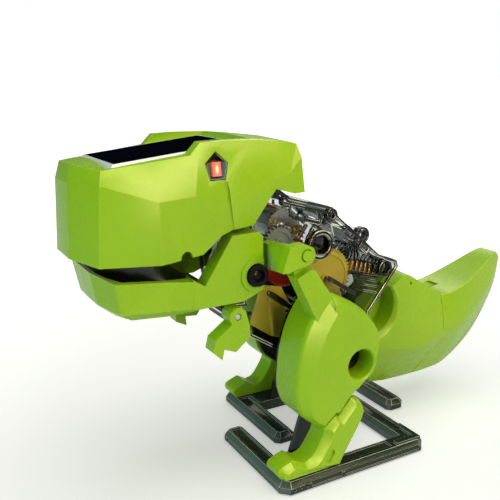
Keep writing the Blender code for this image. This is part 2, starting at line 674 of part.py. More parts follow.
def build_arms(parts, tools):
    """Short arms that turn on one cross pin in the gearbox's nose."""
    outline = arc(SHOULDER, 3.4, 0, 180, 6) + [
        (-52.8, 61.8), (-59.2, 57.2), (-60.2, 53.0), (-56.6, 49.6), (-55.9, 53.4),
        (-51.4, 51.6), (-45.6, 56.2), (-45.8, 60.2)]
    arm = plate("arm_left", outline, ARM_X, "lime", parts)
    cut(arm, rod("shoulder_bore", SHOULDER, SHOULDER_PIN_RADIUS + GAP, (10, 30), "lime", tools, 16))
    other = turned_twin(arm, "arm_right", SHOULDER, RIGHT_ARM_TURN)
    hang(hinge_empty("arm_left_axis", ARM_X[0], *SHOULDER), arm)
    hang(hinge_empty("arm_right_axis", -ARM_X[0], *SHOULDER), other)
    reach = ARM_X[1] - 0.4
    rod("shoulder_pin", SHOULDER, SHOULDER_PIN_RADIUS, (-reach, reach), "steel", parts, 16)


# -------------------------------------------------------------------- tail

def build_tail(parts, tools):
    """Base and tip, parted at a curved seam."""
    base = [
        [(0, 24.5, 15.0), (4.0, 24.5, 15.0), (11.4, 19.0, 27.0),
         (15.0, 14.6, 41.0), (14.2, 14.2, 54.6), (0, 14.2, 54.6)],
        [(0, 32.0, 14.2), (4.4, 32.0, 14.2), (12.0, 29.0, 26.0),
         (15.4, 25.5, 38.4), (14.0, 27.2, 61.6), (0, 27.2, 62.4)],
        [(0, 38.0, 14.1), (4.6, 38.0, 14.1), (12.2, 38.0, 25.0),
         (15.6, 38.0, 35.6), (13.4, 34.6, 64.4), (0, 34.6, 65.0)],
        [(0, 44.0, 14.1), (4.7, 44.0, 14.1), (12.2, 47.0, 24.8),
         (15.4, 48.0, 35.8), (12.4, 44.0, 59.2), (0, 44.0, 59.8)],
        [(0, 48.4, 14.1), (4.8, 48.4, 14.1), (11.6, 54.0, 26.6),
         (14.6, 56.4, 37.2), (11.2, 56.6, 51.8), (0, 56.6, 51.8)],
    ]
    tip = [
        [(0, 48.9, 14.1), (4.8, 48.9, 14.1), (11.5, 54.5, 26.6),
         (14.4, 56.9, 37.2), (11.0, 57.1, 51.6), (0, 57.1, 51.6)],
        [(0, 57.6, 14.3), (4.6, 57.6, 14.3), (11.0, 61.5, 27.0),
         (13.2, 66.0, 38.2), (10.8, 63.5, 51.8), (0, 63.5, 51.8)],
        [(0, 68.9, 16.2), (4.2, 68.9, 16.2), (9.8, 71.0, 29.0),
         (11.8, 73.5, 40.5), (10.2, 72.0, 54.0), (0, 72.0, 54.0)],
        [(0, 85.8, 27.4), (3.4, 85.8, 27.4), (6.8, 85.4, 37.0),
         (8.6, 85.0, 46.0), (8.4, 81.6, 58.0), (0, 81.6, 58.0)],
        [(0, 99.2, 45.9), (2.2, 99.2, 45.9), (4.4, 97.0, 51.0),
         (5.6, 95.0, 55.0), (6.0, 92.0, 63.0), (0, 92.0, 63.0)],
        [(0, 103.2, 60.2), (1.2, 103.2, 60.4), (2.4, 102.0, 61.0),
         (3.4, 100.4, 62.0), (4.8, 97.0, 64.8), (0, 97.0, 64.8)],
    ]
    root = half_hull("tail_base", base, "lime", parts)
    for side in (1, -1):
        scoop = rod(f"scoop_{side}", (15.6, 53.4), 12.4, (side * 9.5, side * 20), "lime", tools, 36)
        cut(root, scoop)
    end = half_hull("tail_tip", tip, "lime", parts)
    slot = box("tail_slot", (2.6, 7.4), (60.6, 64.2), (46, 60), tools)
    cut(end, slot)
    return root, end


# -------------------------------------------------------------------- legs

THIGH = [
    (-24.5, 68.4), (-29.6, 60.8), (-32.7, 52.0), (-34.1, 42.0), (-33.9, 33.5), (-30.6, 26.4),
    (-23.2, 20.8), (-17.9, 25.0), (-16.2, 24.6), (-11.4, 30.3), (-5.4, 34.6), (-0.6, 40.6),
    (1.6, 48.6), (0.4, 55.8), (-5.6, 62.8), (-13.5, 68.2), (-20.0, 70.8),
]
SHIN = [
    (-22.8, 20.3), (-17.8, 24.3), (-16.0, 23.9), (-11.0, 29.8), (-8.6, 29.9), (-5.9, 26.4),
    (-6.2, 21.5), (-14.4, 7.8), (-15.6, 5.0), (-39.6, 5.0), (-41.6, 7.0), (-41.2, 9.6),
    (-35.6, 11.8), (-31.4, 9.4), (-28.0, 10.4), (-25.0, 14.2), (-22.7, 18.2),
]
ARM_LINK = [
    (-30.4, 63.5), (-29.2, 67.4), (-35.2, 78.9), (-30.0, 81.4), (-28.2, 81.4), (-20.6, 70.5), (-24.0, 64.0),
]
LEG_PLATE = [
    (-24.3, 67.8), (-29.2, 60.4), (-32.2, 52.0), (-33.6, 42.0), (-33.4, 33.8), (-30.4, 27.0),
    (-22.6, 20.6), (-24.6, 14.2), (-27.6, 5.0), (-15.6, 5.0), (-6.7, 21.5), (-6.4, 26.2), (-8.6, 29.4),
    (-5.6, 34.9), (-0.9, 40.8), (1.2, 48.6), (0.0, 55.6), (-5.8, 62.3), (-13.6, 67.6), (-20.0, 70.3),
]


def build_thigh(pin, parts, tools):
    """Egg-shaped cover with a bore over the crank pin and an upper link."""
    rings = []
    for x, margin in ((THIGH_X[0], 0.0), (34.2, 0.0), (36.5, 1.1), (THIGH_X[1], 3.0)):
        rings.append([(x, y, z) for y, z in inset(THIGH, margin)] if margin
                     else [(x, y, z) for y, z in THIGH])
    thigh = rings_object("thigh_left", rings, "lime", parts)
    hollow = [[(x, y, z) for y, z in inset(THIGH, margin)]
              for x, margin in ((20.0, 2.0), (33.6, 2.0), (35.6, 4.2))]
    cut(thigh, rings_object("thigh_hollow", hollow, "lime", tools))
    join(thigh, rod("hub_tube", pin, HUB_RADIUS + 1.6, (24.0, 36.6), "lime", tools, 32))
    cut(thigh, rod("hub_bore", pin, HUB_RADIUS, (20.0, 40.0), "lime", tools, 32))
    link = plate("upper_link", ARM_LINK, (TONGUE_X[0], ARM_OUTER_X), "lime", tools)
    tongue_outline = [(-34.4, 79.0), (-29.0, 79.0)] + arc(ROCKER_PIN, 2.9, -25, 205, 10)
    tongue = plate("tongue", tongue_outline, TONGUE_X, "lime", tools)
    join(thigh, link, tongue)
    cut(thigh, rod("tongue_bore", ROCKER_PIN, ROCKER_PIN_RADIUS + GAP, (25, 40), "lime", tools, 20))
    return thigh


def build_foot(pin, parts, tools):
    """A clear U-shaped frame: outer bar and two rails with sloping sides."""
    front = pin[0] + FOOT_FRONT
    rear = pin[0] + FOOT_REAR
    outer = FOOT_OUTER_X
    inner = FOOT_CROSS_X
    clip = 2.0
    corner = 3.2
    outline = [
        (inner, front + clip), (inner + clip, front), (outer - corner, front), (outer, front + corner),
        (outer, rear - corner), (outer - corner, rear), (inner + clip, rear), (inner, rear - clip),
        (inner, rear - RAIL + clip), (inner + clip, rear - RAIL), (outer - RAIL, rear - RAIL),
        (outer - RAIL, front + RAIL), (inner + clip, front + RAIL), (inner, front + RAIL - clip),
    ]
    rings = []
    for z, margin in ((0.0, 0.5), (0.5, 0.0), (2.6, 0.0), (RAIL_HEIGHT, 1.7)):
        shape = inset(outline, margin) if margin else outline
        rings.append([(x, y, z) for x, y in shape])
    foot = rings_object("foot_left", rings, "smoke", parts)
    pad = box("foot_pad", (20.0, outer - RAIL + 2), (-33.0, -13.0), (0.0, RAIL_HEIGHT - 0.05), tools)
    lip_z = (3.0, RAIL_HEIGHT + 1.0)
    lip = box("foot_lip", (outer - 4.4, outer - 1.9), (rear - 14.0, rear - 2.2), lip_z, tools)
    edge = box("foot_edge", (outer - 14.0, outer - 1.9), (rear - 4.6, rear - 2.2), lip_z, tools)
    join(foot, pad, lip, edge)
    return foot


def build_rocker(parts, tools):
    """Stepped link from the thigh's upper pin towards the jaw's ear."""
    inner = [(-38.0, 79.3), (-38.4, 88.5), (-36.6, 88.8), (-34.6, 88.8), (-34.2, 79.9), (-36.0, 79.5)]
    outer = [(-40.8, 81.6), (-38.3, 90.2), (-37.3, 90.6), (-36.1, 90.6), (-36.1, 82.4), (-38.0, 82.0)]
    rings = [[(x, y, z) for y, z in shape] for x, shape in ((18.6, inner), (22.0, inner), (35.0, outer))]
    rocker = rings_object("rocker_left", rings, "lime", parts)
    face = [(-41.5, 81.9), (-38.7, 90.5), (-33.2, 91.0)] + arc(ROCKER_PIN, 3.4, 50, -75, 7)
    face += [(-37.0, 82.4), (-39.2, 81.6)]
    join(rocker, plate("rocker_face", face, ROCKER_PLATE_X, "lime", tools))
    cut(rocker, rod("rocker_bore", ROCKER_PIN, ROCKER_PIN_RADIUS + GAP, (25, 40), "lime", tools, 20))
    return rocker


def build_cranks(pin, parts, tools):
    """Crank arm with its pin, and the cap that keeps the leg on."""
    outline = arc(SHAFT, 4.6, -90, 90, 8) + arc(pin, 4.6, 90, 270, 8)
    crank = plate("crank_left", outline, CRANK_X, "black", parts)
    join(crank, rod("crank_stud", pin, PIN_RADIUS, (CRANK_X[0] + 0.5, 26.0), "black", tools, 24))
    cut(crank, rod("crank_eye", SHAFT, SHAFT_RADIUS + 0.25, (15, 25), "black", tools, 20))
    cap = rod("crank_cap_left", pin, 4.4, (26.3, 30.6), "black", parts, 24)
    cut(cap, rod("crank_cap_socket", pin, 2.2, (29.0, 33.0), "black", tools, 6))
    return crank, cap


def build_legs(output, parts, tools):
    """The left leg stands forward on its crank pin, the right one rearward."""
    pin = (SHAFT[0] - CRANK_RADIUS, SHAFT[1])
    left = [build_thigh(pin, parts, tools), plate("shin_left", SHIN, SHIN_X, "lime", parts)]
    leg_plate = plate("leg_plate_left", LEG_PLATE, LEG_PLATE_X, "smoke", parts)
    cut(leg_plate, rod("leg_bore", pin, PIN_BORE, (15, 30), "smoke", tools, 28))
    left += [leg_plate, build_foot(pin, parts, tools)]
    rocker_pin = rod("rocker_pin_left", ROCKER_PIN, ROCKER_PIN_RADIUS, (29.4, 37.8), "lime", parts, 20)
    left.append(rocker_pin)
    rocker = build_rocker(parts, tools)
    crank, cap = build_cranks(pin, parts, tools)
    bevel(left[1], 0.9)
    shift = 2 * CRANK_RADIUS
    right = [twin(item, item.name.replace("_left", "_right"), shift) for item in left]
    other_rocker = twin(rocker, "rocker_right", shift)
    other_crank = turned_twin(crank, "crank_right", SHAFT, 180)
    other_cap = turned_twin(cap, "crank_cap_right", SHAFT, 180)
    shaft = rod("crank_shaft", SHAFT, SHAFT_RADIUS, (-19.6, 19.6), "steel", parts, 20)
    drive = hinge_empty("drive_axis", 0, *SHAFT)
    hang(drive, output, shaft, crank, cap, other_crank, other_cap)
    for name, side, moved, pieces, link in (("left", 1, 0, left, rocker),
                                            ("right", -1, shift, right, other_rocker)):
        leg = hinge_empty(f"leg_{name}_axis", side * THIGH_X[0], pin[0] + moved, pin[1])
        hang(leg, *pieces)
        pivot = (ROCKER_PIN[0] + moved, ROCKER_PIN[1])
        hang(hinge_empty(f"rocker_{name}_axis", side * TONGUE_X[0], *pivot), link)
        hang(drive, leg)


def main():
    clear_scene()
    parts = new_collection("solar_robot_kit")
    tools = new_collection("cutters")
    at, output = build_gears(parts, tools)
    build_motor(at, parts, tools)
    left, right = build_gearbox(at, parts, tools)
    cut(right, *build_screws(parts, tools))
    build_head(parts, tools)
    build_palate(parts, tools)
    build_eyes(parts, tools)
    build_panel(parts, tools)
    build_wires(parts)
    build_jaw(parts, tools)
    build_jaw_pins(parts, tools)
    build_arms(parts, tools)
    build_tail(parts, tools)
    build_legs(output, parts, tools)


main()
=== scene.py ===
"""Looks of the walking dinosaur robot kit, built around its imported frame.

Lengths are in millimetres until a mesh is finished; MM turns them into metres.
The toy faces -Y, its left side is +X and +Z is up.  Side views are (Y, Z).
"""

import json
import math

import bmesh
import bpy
from mathutils import Matrix, Vector


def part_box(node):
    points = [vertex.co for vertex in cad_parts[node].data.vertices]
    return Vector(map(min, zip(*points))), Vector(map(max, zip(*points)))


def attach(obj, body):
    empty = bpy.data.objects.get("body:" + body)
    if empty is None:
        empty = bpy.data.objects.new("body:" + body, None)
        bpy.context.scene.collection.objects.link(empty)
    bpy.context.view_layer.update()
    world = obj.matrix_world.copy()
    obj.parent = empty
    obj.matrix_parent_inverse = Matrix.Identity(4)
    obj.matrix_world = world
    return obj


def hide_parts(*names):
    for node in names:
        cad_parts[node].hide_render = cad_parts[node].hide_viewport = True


MM = 0.001
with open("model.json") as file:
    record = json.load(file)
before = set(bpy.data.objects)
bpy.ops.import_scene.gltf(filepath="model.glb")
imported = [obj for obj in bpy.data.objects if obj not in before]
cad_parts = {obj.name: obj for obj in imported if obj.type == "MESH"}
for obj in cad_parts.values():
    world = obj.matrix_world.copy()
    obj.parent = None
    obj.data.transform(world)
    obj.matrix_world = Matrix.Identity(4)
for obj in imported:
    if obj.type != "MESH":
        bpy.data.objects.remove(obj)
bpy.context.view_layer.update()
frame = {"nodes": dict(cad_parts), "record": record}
nodes = frame["nodes"]
SLOT_OF = {entry["node"]: entry["material_slot"] for entry in frame["record"]["subparts"]}
BODY_OF = {node: body for body, group in frame["record"]["behaviour"]["bodies"].items() for node in group}


def middle(node):
    """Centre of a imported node's box, in millimetres."""
    low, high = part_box(node)
    return (low + high) / 2 / MM


# places read from the frame, as (Y, Z), and the rearward shift of the right leg
MOTOR = middle("motor_can").yz
GREY_AXIS = middle("grey_gear").yz
YELLOW_AXIS = middle("yellow_gear").yz
JAW_PIVOT = middle("jaw_pin_left").yz
CRANK_PIN = middle("crank_cap_left").yz
LEG_SHIFT = middle("leg_plate_right").y - middle("leg_plate_left").y


# ------------------------------------------------------------ shader helpers

def new_material(name):
    """An empty Principled material and a function that adds linked nodes."""
    mat = bpy.data.materials.new(name)
    mat.use_nodes = True
    tree = mat.node_tree
    shader = tree.nodes["Principled BSDF"]

    def add(kind, inputs=None, **settings):
        node = tree.nodes.new(kind)
        for key, value in settings.items():
            setattr(node, key, value)
        for key, value in (inputs or {}).items():
            if isinstance(value, bpy.types.NodeSocket):
                tree.links.new(value, node.inputs[key])
            else:
                node.inputs[key].default_value = value
        return node

    return mat, shader, add, tree.links.new


def ramp(add, factor, stops):
    node = add("ShaderNodeValToRGB", {"Fac": factor})
    elements = node.color_ramp.elements
    while len(elements) < len(stops):
        elements.new(0.5)
    for element, (position, colour) in zip(elements, stops):
        element.position = position
        element.color = (*colour, 1)
    return node.outputs["Color"]


def noise(add, where, scale, detail=2.0, rough=0.5):
    node = add("ShaderNodeTexNoise", {"Vector": where, "Scale": scale, "Detail": detail, "Roughness": rough})
    return node.outputs["Fac"]


def place(add):
    """Position in the toy's own space, so a pattern rides with its piece."""
    return add("ShaderNodeTexCoord").outputs["Object"]


def mould_bump(add, link, shader, where, strength=0.12, grain=2600.0):
    """The faint orange peel of a moulded surface."""
    peel = noise(add, where, grain, 2.0)
    wave = noise(add, where, 90.0, 1.0)
    mixed = add("ShaderNodeMath", {0: peel, 1: wave}, operation="ADD")
    bump = add("ShaderNodeBump", {"Height": mixed.outputs[0], "Strength": strength, "Distance": 0.00012})
    link(bump.outputs["Normal"], shader.inputs["Normal"])


def plastic(name, dark, light, roughness=0.32, bump=0.12, coat=0.25, specular=0.5):
    """Moulded plastic whose tone and gloss drift a little across the part."""
    mat, shader, add, link = new_material(name)
    where = place(add)
    drift = noise(add, where, 28.0, 3.0)
    link(ramp(add, drift, ((0.3, dark), (0.7, light))), shader.inputs["Base Color"])
    smear = noise(add, where, 160.0, 4.0, 0.6)
    gloss = add("ShaderNodeMapRange", {"Value": smear, "To Min": roughness - 0.05,
                                       "To Max": roughness + 0.06})
    link(gloss.outputs["Result"], shader.inputs["Roughness"])
    shader.inputs["Coat Weight"].default_value = coat
    shader.inputs["Coat Roughness"].default_value = 0.2
    shader.inputs["Specular IOR Level"].default_value = specular
    mould_bump(add, link, shader, where, bump)
    return mat


def clear_smoke(name, face, edge, least, most=1.0, body=(0.010, 0.012, 0.012)):
    """Smoke-tinted clear plastic: see-through head on, near black at its edges.

    face and edge are what one surface lets through, head on and at a glance;
    least and most are the share of the surface that is plain dark plastic.
    """
    mat, shader, add, link = new_material(name)
    where = place(add)
    facing = add("ShaderNodeLayerWeight", {"Blend": 0.35}).outputs["Facing"]
    cloud = noise(add, where, 60.0, 2.0)
    shift = add("ShaderNodeMath", {0: cloud, 1: 0.08}, operation="MULTIPLY")
    depth = add("ShaderNodeMath", {0: facing, 1: shift.outputs[0]}, operation="ADD", use_clamp=True)
    tint = ramp(add, depth.outputs[0], ((0.10, face), (0.75, edge)))
    through = add("ShaderNodeBsdfTransparent", {"Color": tint})
    link(ramp(add, cloud, ((0.3, body), (0.7, tuple(c * 1.6 for c in body)))), shader.inputs["Base Color"])
    shader.inputs["Roughness"].default_value = 0.07
    shader.inputs["IOR"].default_value = 1.58
    shader.inputs["Coat Weight"].default_value = 0.7
    shader.inputs["Coat Roughness"].default_value = 0.03
    mould_bump(add, link, shader, where, 0.02, 260.0)
    # a Fresnel node would turn opaque where a wall is seen from its inner side
    glance = add("ShaderNodeLayerWeight", {"Blend": 0.5}).outputs["Facing"]
    steep = add("ShaderNodeMath", {0: glance, 1: 4.0}, operation="POWER")
    solid = add("ShaderNodeMapRange", {"Value": steep.outputs[0], "From Max": 0.5,
                                       "To Min": least, "To Max": most})
    mix = add("ShaderNodeMixShader", {0: solid.outputs["Result"], 1: through.outputs[0],
                                      2: shader.outputs[0]})
    link(mix.outputs[0], mat.node_tree.nodes["Material Output"].inputs["Surface"])
    return mat


def glint(name, dark, light, share):
    """Polished rim of clear plastic with a painted highlight: pale streaks along part of its length, near
    black between them.
    """
    mat, shader, add, link = new_material(name)
    where = place(add)
    painted_streak = noise(add, where, 110.0, 0.0)
    # the pale streaks are a painted highlight, the near black between them painted shade
    colour = ramp(add, painted_streak, ((share, dark), (share + 0.08, light)))
    link(colour, shader.inputs["Base Color"])
    shader.inputs["Roughness"].default_value = 0.08
    shader.inputs["Coat Weight"].default_value = 1.0
    shader.inputs["Coat Roughness"].default_value = 0.03
    return mat


def foot_smoke(name, edges):
    """Dark clear foot plastic with painted light: a painted sheen where it faces forward, fainter where it
    faces outward, and a painted highlight on edges that face up.
    """
    mat, shader, add, link = new_material(name)
    coords = add("ShaderNodeTexCoord")
    way = add("ShaderNodeSeparateXYZ", {0: coords.outputs["Normal"]})
    cloud = noise(add, coords.outputs["Object"], 60.0, 2.0)
    if edges:
        # edges that face up get a painted highlight, the others near black
        link(ramp(add, way.outputs["Z"], ((0.25, (0.006, 0.008, 0.008)), (0.5, (0.55, 0.62, 0.62)))),
             shader.inputs["Base Color"])
    else:
        # faces turned forward get a painted sheen, fainter where they turn outward; a little cloud varies it
        forward = add("ShaderNodeMath", {0: way.outputs["Y"], 1: -1.0}, operation="MULTIPLY")
        outward = add("ShaderNodeMath", {0: way.outputs["X"]}, operation="ABSOLUTE")
        faint = add("ShaderNodeMath", {0: outward.outputs[0], 1: 0.36}, operation="MULTIPLY")
        pale = add("ShaderNodeMath", {0: forward.outputs[0], 1: faint.outputs[0]}, operation="MAXIMUM")
        veil = add("ShaderNodeMath", {0: cloud, 1: 0.2}, operation="MULTIPLY")
        shown = add("ShaderNodeMath", {0: pale.outputs[0], 1: veil.outputs[0]}, operation="ADD")
        link(ramp(add, shown.outputs[0], ((0.12, (0.006, 0.009, 0.006)), (0.5, (0.035, 0.06, 0.05)),
                                          (1.0, (0.15, 0.20, 0.21)))), shader.inputs["Base Color"])
    shader.inputs["Roughness"].default_value = 0.16
    shader.inputs["Specular IOR Level"].default_value = 0.16
    through = add("ShaderNodeBsdfTransparent", {"Color": (0.45, 0.5, 0.5, 1)})
    solid = add("ShaderNodeMixShader", {0: 0.8, 1: through.outputs[0], 2: shader.outputs[0]})
    link(solid.outputs[0], mat.node_tree.nodes["Material Output"].inputs["Surface"])
    return mat


def metal(name, colour, roughness, stretch):
    """Turned or drawn metal with fine lines across its axis."""
    mat, shader, add, link = new_material(name)
    where = place(add)
    lines = add("ShaderNodeMapping", {"Vector": where, "Scale": stretch})
    grain = noise(add, lines.outputs[0], 900.0, 4.0)
    tone = ramp(add, grain, ((0.25, tuple(c * 0.75 for c in colour)), (0.75, colour)))
    link(tone, shader.inputs["Base Color"])
    shader.inputs["Metallic"].default_value = 1.0
    gloss = add("ShaderNodeMapRange", {"Value": grain, "To Min": roughness * 0.7, "To Max": roughness * 1.4})
    link(gloss.outputs["Result"], shader.inputs["Roughness"])
    bump = add("ShaderNodeBump", {"Height": grain, "Strength": 0.15, "Distance": 0.00005})
    link(bump.outputs["Normal"], shader.inputs["Normal"])
    return mat


def solar_cell():
    """Navy silicon under resin, with silver fingers and two bus bars."""
    mat, shader, add, link = new_material("solar_cell")
    where = place(add)
    split = add("ShaderNodeSeparateXYZ", {0: where})

    def stripes(axis, pitch, share):
        scaled = add("ShaderNodeMath", {0: split.outputs[axis], 1: 1 / pitch}, operation="MULTIPLY")
        wrapped = add("ShaderNodeMath", {0: scaled.outputs[0], 1: 1.0}, operation="FLOORED_MODULO")
        return add("ShaderNodeMath", {0: wrapped.outputs[0], 1: share}, operation="LESS_THAN").outputs[0]

    fingers = stripes("Y", 0.0022, 0.05)
    bars = stripes("X", 0.0085, 0.05)
    lines = add("ShaderNodeMath", {0: fingers, 1: bars}, operation="MAXIMUM")
    crystal = add("ShaderNodeTexVoronoi", {"Vector": where, "Scale": 420.0})
    base = ramp(add, crystal.outputs["Distance"],
                ((0.0, (0.0006, 0.0008, 0.003)), (0.8, (0.0012, 0.0016, 0.006))))
    colour = add("ShaderNodeMix", {"Factor": lines.outputs[0], "A": base, "B": (0.005, 0.006, 0.011, 1)},
                 data_type="RGBA")
    link(colour.outputs["Result"], shader.inputs["Base Color"])
    shader.inputs["Roughness"].default_value = 0.25
    shader.inputs["Specular IOR Level"].default_value = 0.0
    return mat


def lamp_window():
    """A red lamp that is white hot along its middle."""
    mat, shader, add, link = new_material("lamp_window")
    where = place(add)
    centre = middle("eye_led_left") * MM
    offset = add("ShaderNodeVectorMath", {0: where, 1: (0.0, centre.y, centre.z)}, operation="SUBTRACT")
    flat = add("ShaderNodeVectorMath", {0: offset.outputs[0], 1: (0.0, 900.0, 380.0)}, operation="MULTIPLY")
    away = add("ShaderNodeVectorMath", {0: flat.outputs[0]}, operation="LENGTH").outputs["Value"]
    glow = ramp(add, away, ((0.0, (1.0, 0.93, 0.75)), (0.28, (1.0, 0.62, 0.35)), (0.55, (0.85, 0.2, 0.13)),
                            (1.0, (0.6, 0.10, 0.09))))
    link(glow, shader.inputs["Base Color"])
    link(glow, shader.inputs["Emission Color"])
    shader.inputs["Emission Strength"].default_value = 0.7
    shader.inputs["Roughness"].default_value = 0.2
    return mat


def gear_plastic(name, dark, light):
    """Nylon with faint rings left by its mould."""
    mat, shader, add, link = new_material(name)
    where = place(add)
    drift = noise(add, where, 60.0, 3.0)
    link(ramp(add, drift, ((0.3, dark), (0.7, light))), shader.inputs["Base Color"])
    shader.inputs["Roughness"].default_value = 0.34
    shader.inputs["Coat Weight"].default_value = 0.3
    mould_bump(add, link, shader, where, 0.2, 1800.0)
    return mat


LIME = plastic("lime_plastic", (0.225, 0.455, 0.006), (0.26, 0.49, 0.009), 0.27, 0.035, 0.03, 0.30)
# lighter, yellower lime for the rounded edge strips: a painted highlight along every edge
LIME_PAINTED_HIGHLIGHT = plastic("lime_painted_highlight", (0.36, 0.57, 0.02), (0.42, 0.62, 0.03), 0.28, 0.04, 0.15, 0.4)
SMOKE = clear_smoke("smoky_clear", (0.93, 0.94, 0.94), (0.28, 0.30, 0.31), 0.03)
# a darker, more solid copy of the smoky clear for rims and raised details: painted shade for the dark look
# of thick clear edges
SMOKE_PAINTED_DARK = clear_smoke("smoky_painted_dark", (0.40, 0.42, 0.43), (0.02, 0.025, 0.03), 0.30)
# painted highlight for the rounded edges of smoky clear parts
PAINTED_GLINT = glint("smoky_painted_glint", (0.015, 0.018, 0.02), (0.75, 0.80, 0.83), 0.50)
# paler, bluish smoky clear: a painted reflection on one flat of the gearbox wall
PAINTED_REFLECTION = clear_smoke("smoky_painted_reflection", (0.55, 0.6, 0.63), (0.25, 0.3, 0.33), 0.35, 1.0, (0.10, 0.14, 0.17))
# foot plastic and its edges, with painted sheen and painted highlights
FOOT_SMOKE_PAINTED_SHEEN = foot_smoke("smoky_foot_painted_sheen", False)
FOOT_EDGE_PAINTED_HIGHLIGHT = foot_smoke("foot_edge_painted_highlight", True)
BLACK = plastic("black_plastic", (0.003, 0.003, 0.004), (0.007, 0.007, 0.008), 0.18, 0.03, 0.0, 0.1)
STEEL = metal("steel", (0.62, 0.63, 0.65), 0.25, (1.0, 12.0, 12.0))
BRASS = metal("brass", (0.66, 0.47, 0.18), 0.22, (1.0, 12.0, 12.0))
GREY = gear_plastic("grey_nylon", (0.24, 0.32, 0.38), (0.34, 0.42, 0.48))
RED = gear_plastic("red_nylon", (0.33, 0.0, 0.008), (0.45, 0.006, 0.016))
YELLOW = gear_plastic("yellow_nylon", (0.88, 0.74, 0.06), (0.97, 0.86, 0.10))
CELL = solar_cell()
EDGE = plastic("panel_edge", (0.66, 0.77, 0.85), (0.8, 0.89, 0.95), 0.15, 0.03, 0.8)
LENS = plastic("eye_lens", (0.07, 0.125, 0.17), (0.11, 0.19, 0.26), 0.25, 0.04, 0.2)
LAMP = lamp_window()
RED_WIRE = plastic("red_wire", (0.4, 0.01, 0.01), (0.5, 0.015, 0.012), 0.4, 0.1, 0.1)

BY_SLOT = {"lime_plastic": (LIME, LIME_PAINTED_HIGHLIGHT), "smoky_clear": (SMOKE, PAINTED_GLINT), "black_plastic": (BLACK,),
           "steel": (STEEL,), "brass": (BRASS,), "grey_nylon": (GREY,), "red_nylon": (RED,),
           "yellow_nylon": (YELLOW,), "solar_cell": (CELL,), "panel_edge": (EDGE,), "eye_lens": (LENS,),
           "lamp_window": (LAMP,), "red_wire": (RED_WIRE,)}


# --------------------------------------------------------- surface finishing

def smooth_group():
    """Modifier that shades smooth except across edges sharper than its angle."""
    group = bpy.data.node_groups.new("smooth_by_angle", "GeometryNodeTree")
    group.interface.new_socket("Geometry", in_out="INPUT", socket_type="NodeSocketGeometry")
    group.interface.new_socket("Angle", in_out="INPUT", socket_type="NodeSocketFloat")
    group.interface.new_socket("Geometry", in_out="OUTPUT", socket_type="NodeSocketGeometry")
    into = group.nodes.new("NodeGroupInput")
    out = group.nodes.new("NodeGroupOutput")
    faces = group.nodes.new("GeometryNodeSetShadeSmooth")
    edges = group.nodes.new("GeometryNodeSetShadeSmooth")
    edges.domain = "EDGE"
    bend = group.nodes.new("GeometryNodeInputMeshEdgeAngle")
    soft = group.nodes.new("FunctionNodeCompare")
    soft.operation = "LESS_THAN"
    link = group.links.new
    link(into.outputs["Geometry"], faces.inputs["Geometry"])
    link(faces.outputs["Geometry"], edges.inputs["Geometry"])
    link(bend.outputs["Unsigned Angle"], soft.inputs["A"])
    link(into.outputs["Angle"], soft.inputs["B"])
    link(soft.outputs["Result"], edges.inputs["Shade Smooth"])
    link(edges.outputs["Geometry"], out.inputs["Geometry"])
    return group


SMOOTH = smooth_group()
BEVEL_STEPS = 3


def shade(item, degrees=32):
    modifier = item.modifiers.new("shade", "NODES")
    modifier.node_group = SMOOTH
    key = next(s.identifier for s in SMOOTH.interface.items_tree if s.name == "Angle")
    modifier[key] = math.radians(degrees)


def soften(item, width, angle=28, degrees=32):
    """Rounds a piece's edges; the rounded strip takes the second material, which on lime, smoky and foot
    parts is a painted highlight.
    """
    clean = item.modifiers.new("clean", "DECIMATE")
    clean.decimate_type = "DISSOLVE"
    clean.angle_limit = math.radians(0.6)
    bevel = item.modifiers.new("round", "BEVEL")
    bevel.width = width * MM
    bevel.segments = BEVEL_STEPS
    bevel.limit_method = "ANGLE"
    bevel.angle_limit = math.radians(angle)
    bevel.use_clamp_overlap = True
    if len(item.data.materials) > 1:
        bevel.material = 1
    shade(item, degrees)


# ------------------------------------------------------------ mesh building

def arc(centre, radius, start, end, steps):
    """Side view points on a circle from one angle to another, in degrees."""
    angles = [math.radians(start + (end - start) * i / steps) for i in range(steps + 1)]
    return [(centre[0] + radius * math.cos(a), centre[1] + radius * math.sin(a)) for a in angles]


def spline(points, steps, corners=(), closed=True):
    """A Catmull-Rom curve through points; it keeps the listed corners sharp."""
    count = len(points)
    points = [Vector(p) for p in points]
    result = []
    for i in range(count if closed else count - 1):
        here, after = points[i], points[(i + 1) % count]
        before = here if i in corners or (not closed and i == 0) else points[i - 1]
        last = (i + 1) % count in corners or (not closed and i == count - 2)
        beyond = after if last else points[(i + 2) % count]
        straight = i in corners and (i + 1) % count in corners
        pieces = 1 if straight else steps
        for k in range(pieces):
            t = k / pieces
            into, out = (after - before) / 2, (beyond - here) / 2
            result.append(here * (2 * t ** 3 - 3 * t ** 2 + 1) + into * (t ** 3 - 2 * t ** 2 + t)
                          + after * (3 * t ** 2 - 2 * t ** 3) + out * (t ** 3 - t ** 2))
    if not closed:
        result.append(points[-1])
    return result


def shrink(points, margin):
    """A closed outline moved inwards; margin is a number or depends on the normal."""
    points = [Vector(p) for p in points]
    turn = 1 if sum(a.cross(b) for a, b in zip(points, points[1:] + points[:1])) > 0 else -1
    result = []
    for i, here in enumerate(points):
        first = (here - points[i - 1]).normalized()
        second = (points[(i + 1) % len(points)] - here).normalized()
        inward = Vector((-first.y - second.y, first.x + second.x)) * turn
        size = margin(-inward.normalized()) if callable(margin) else margin
        result.append(here + inward * size * 2 / max(inward.length_squared, 1.2))
    return result


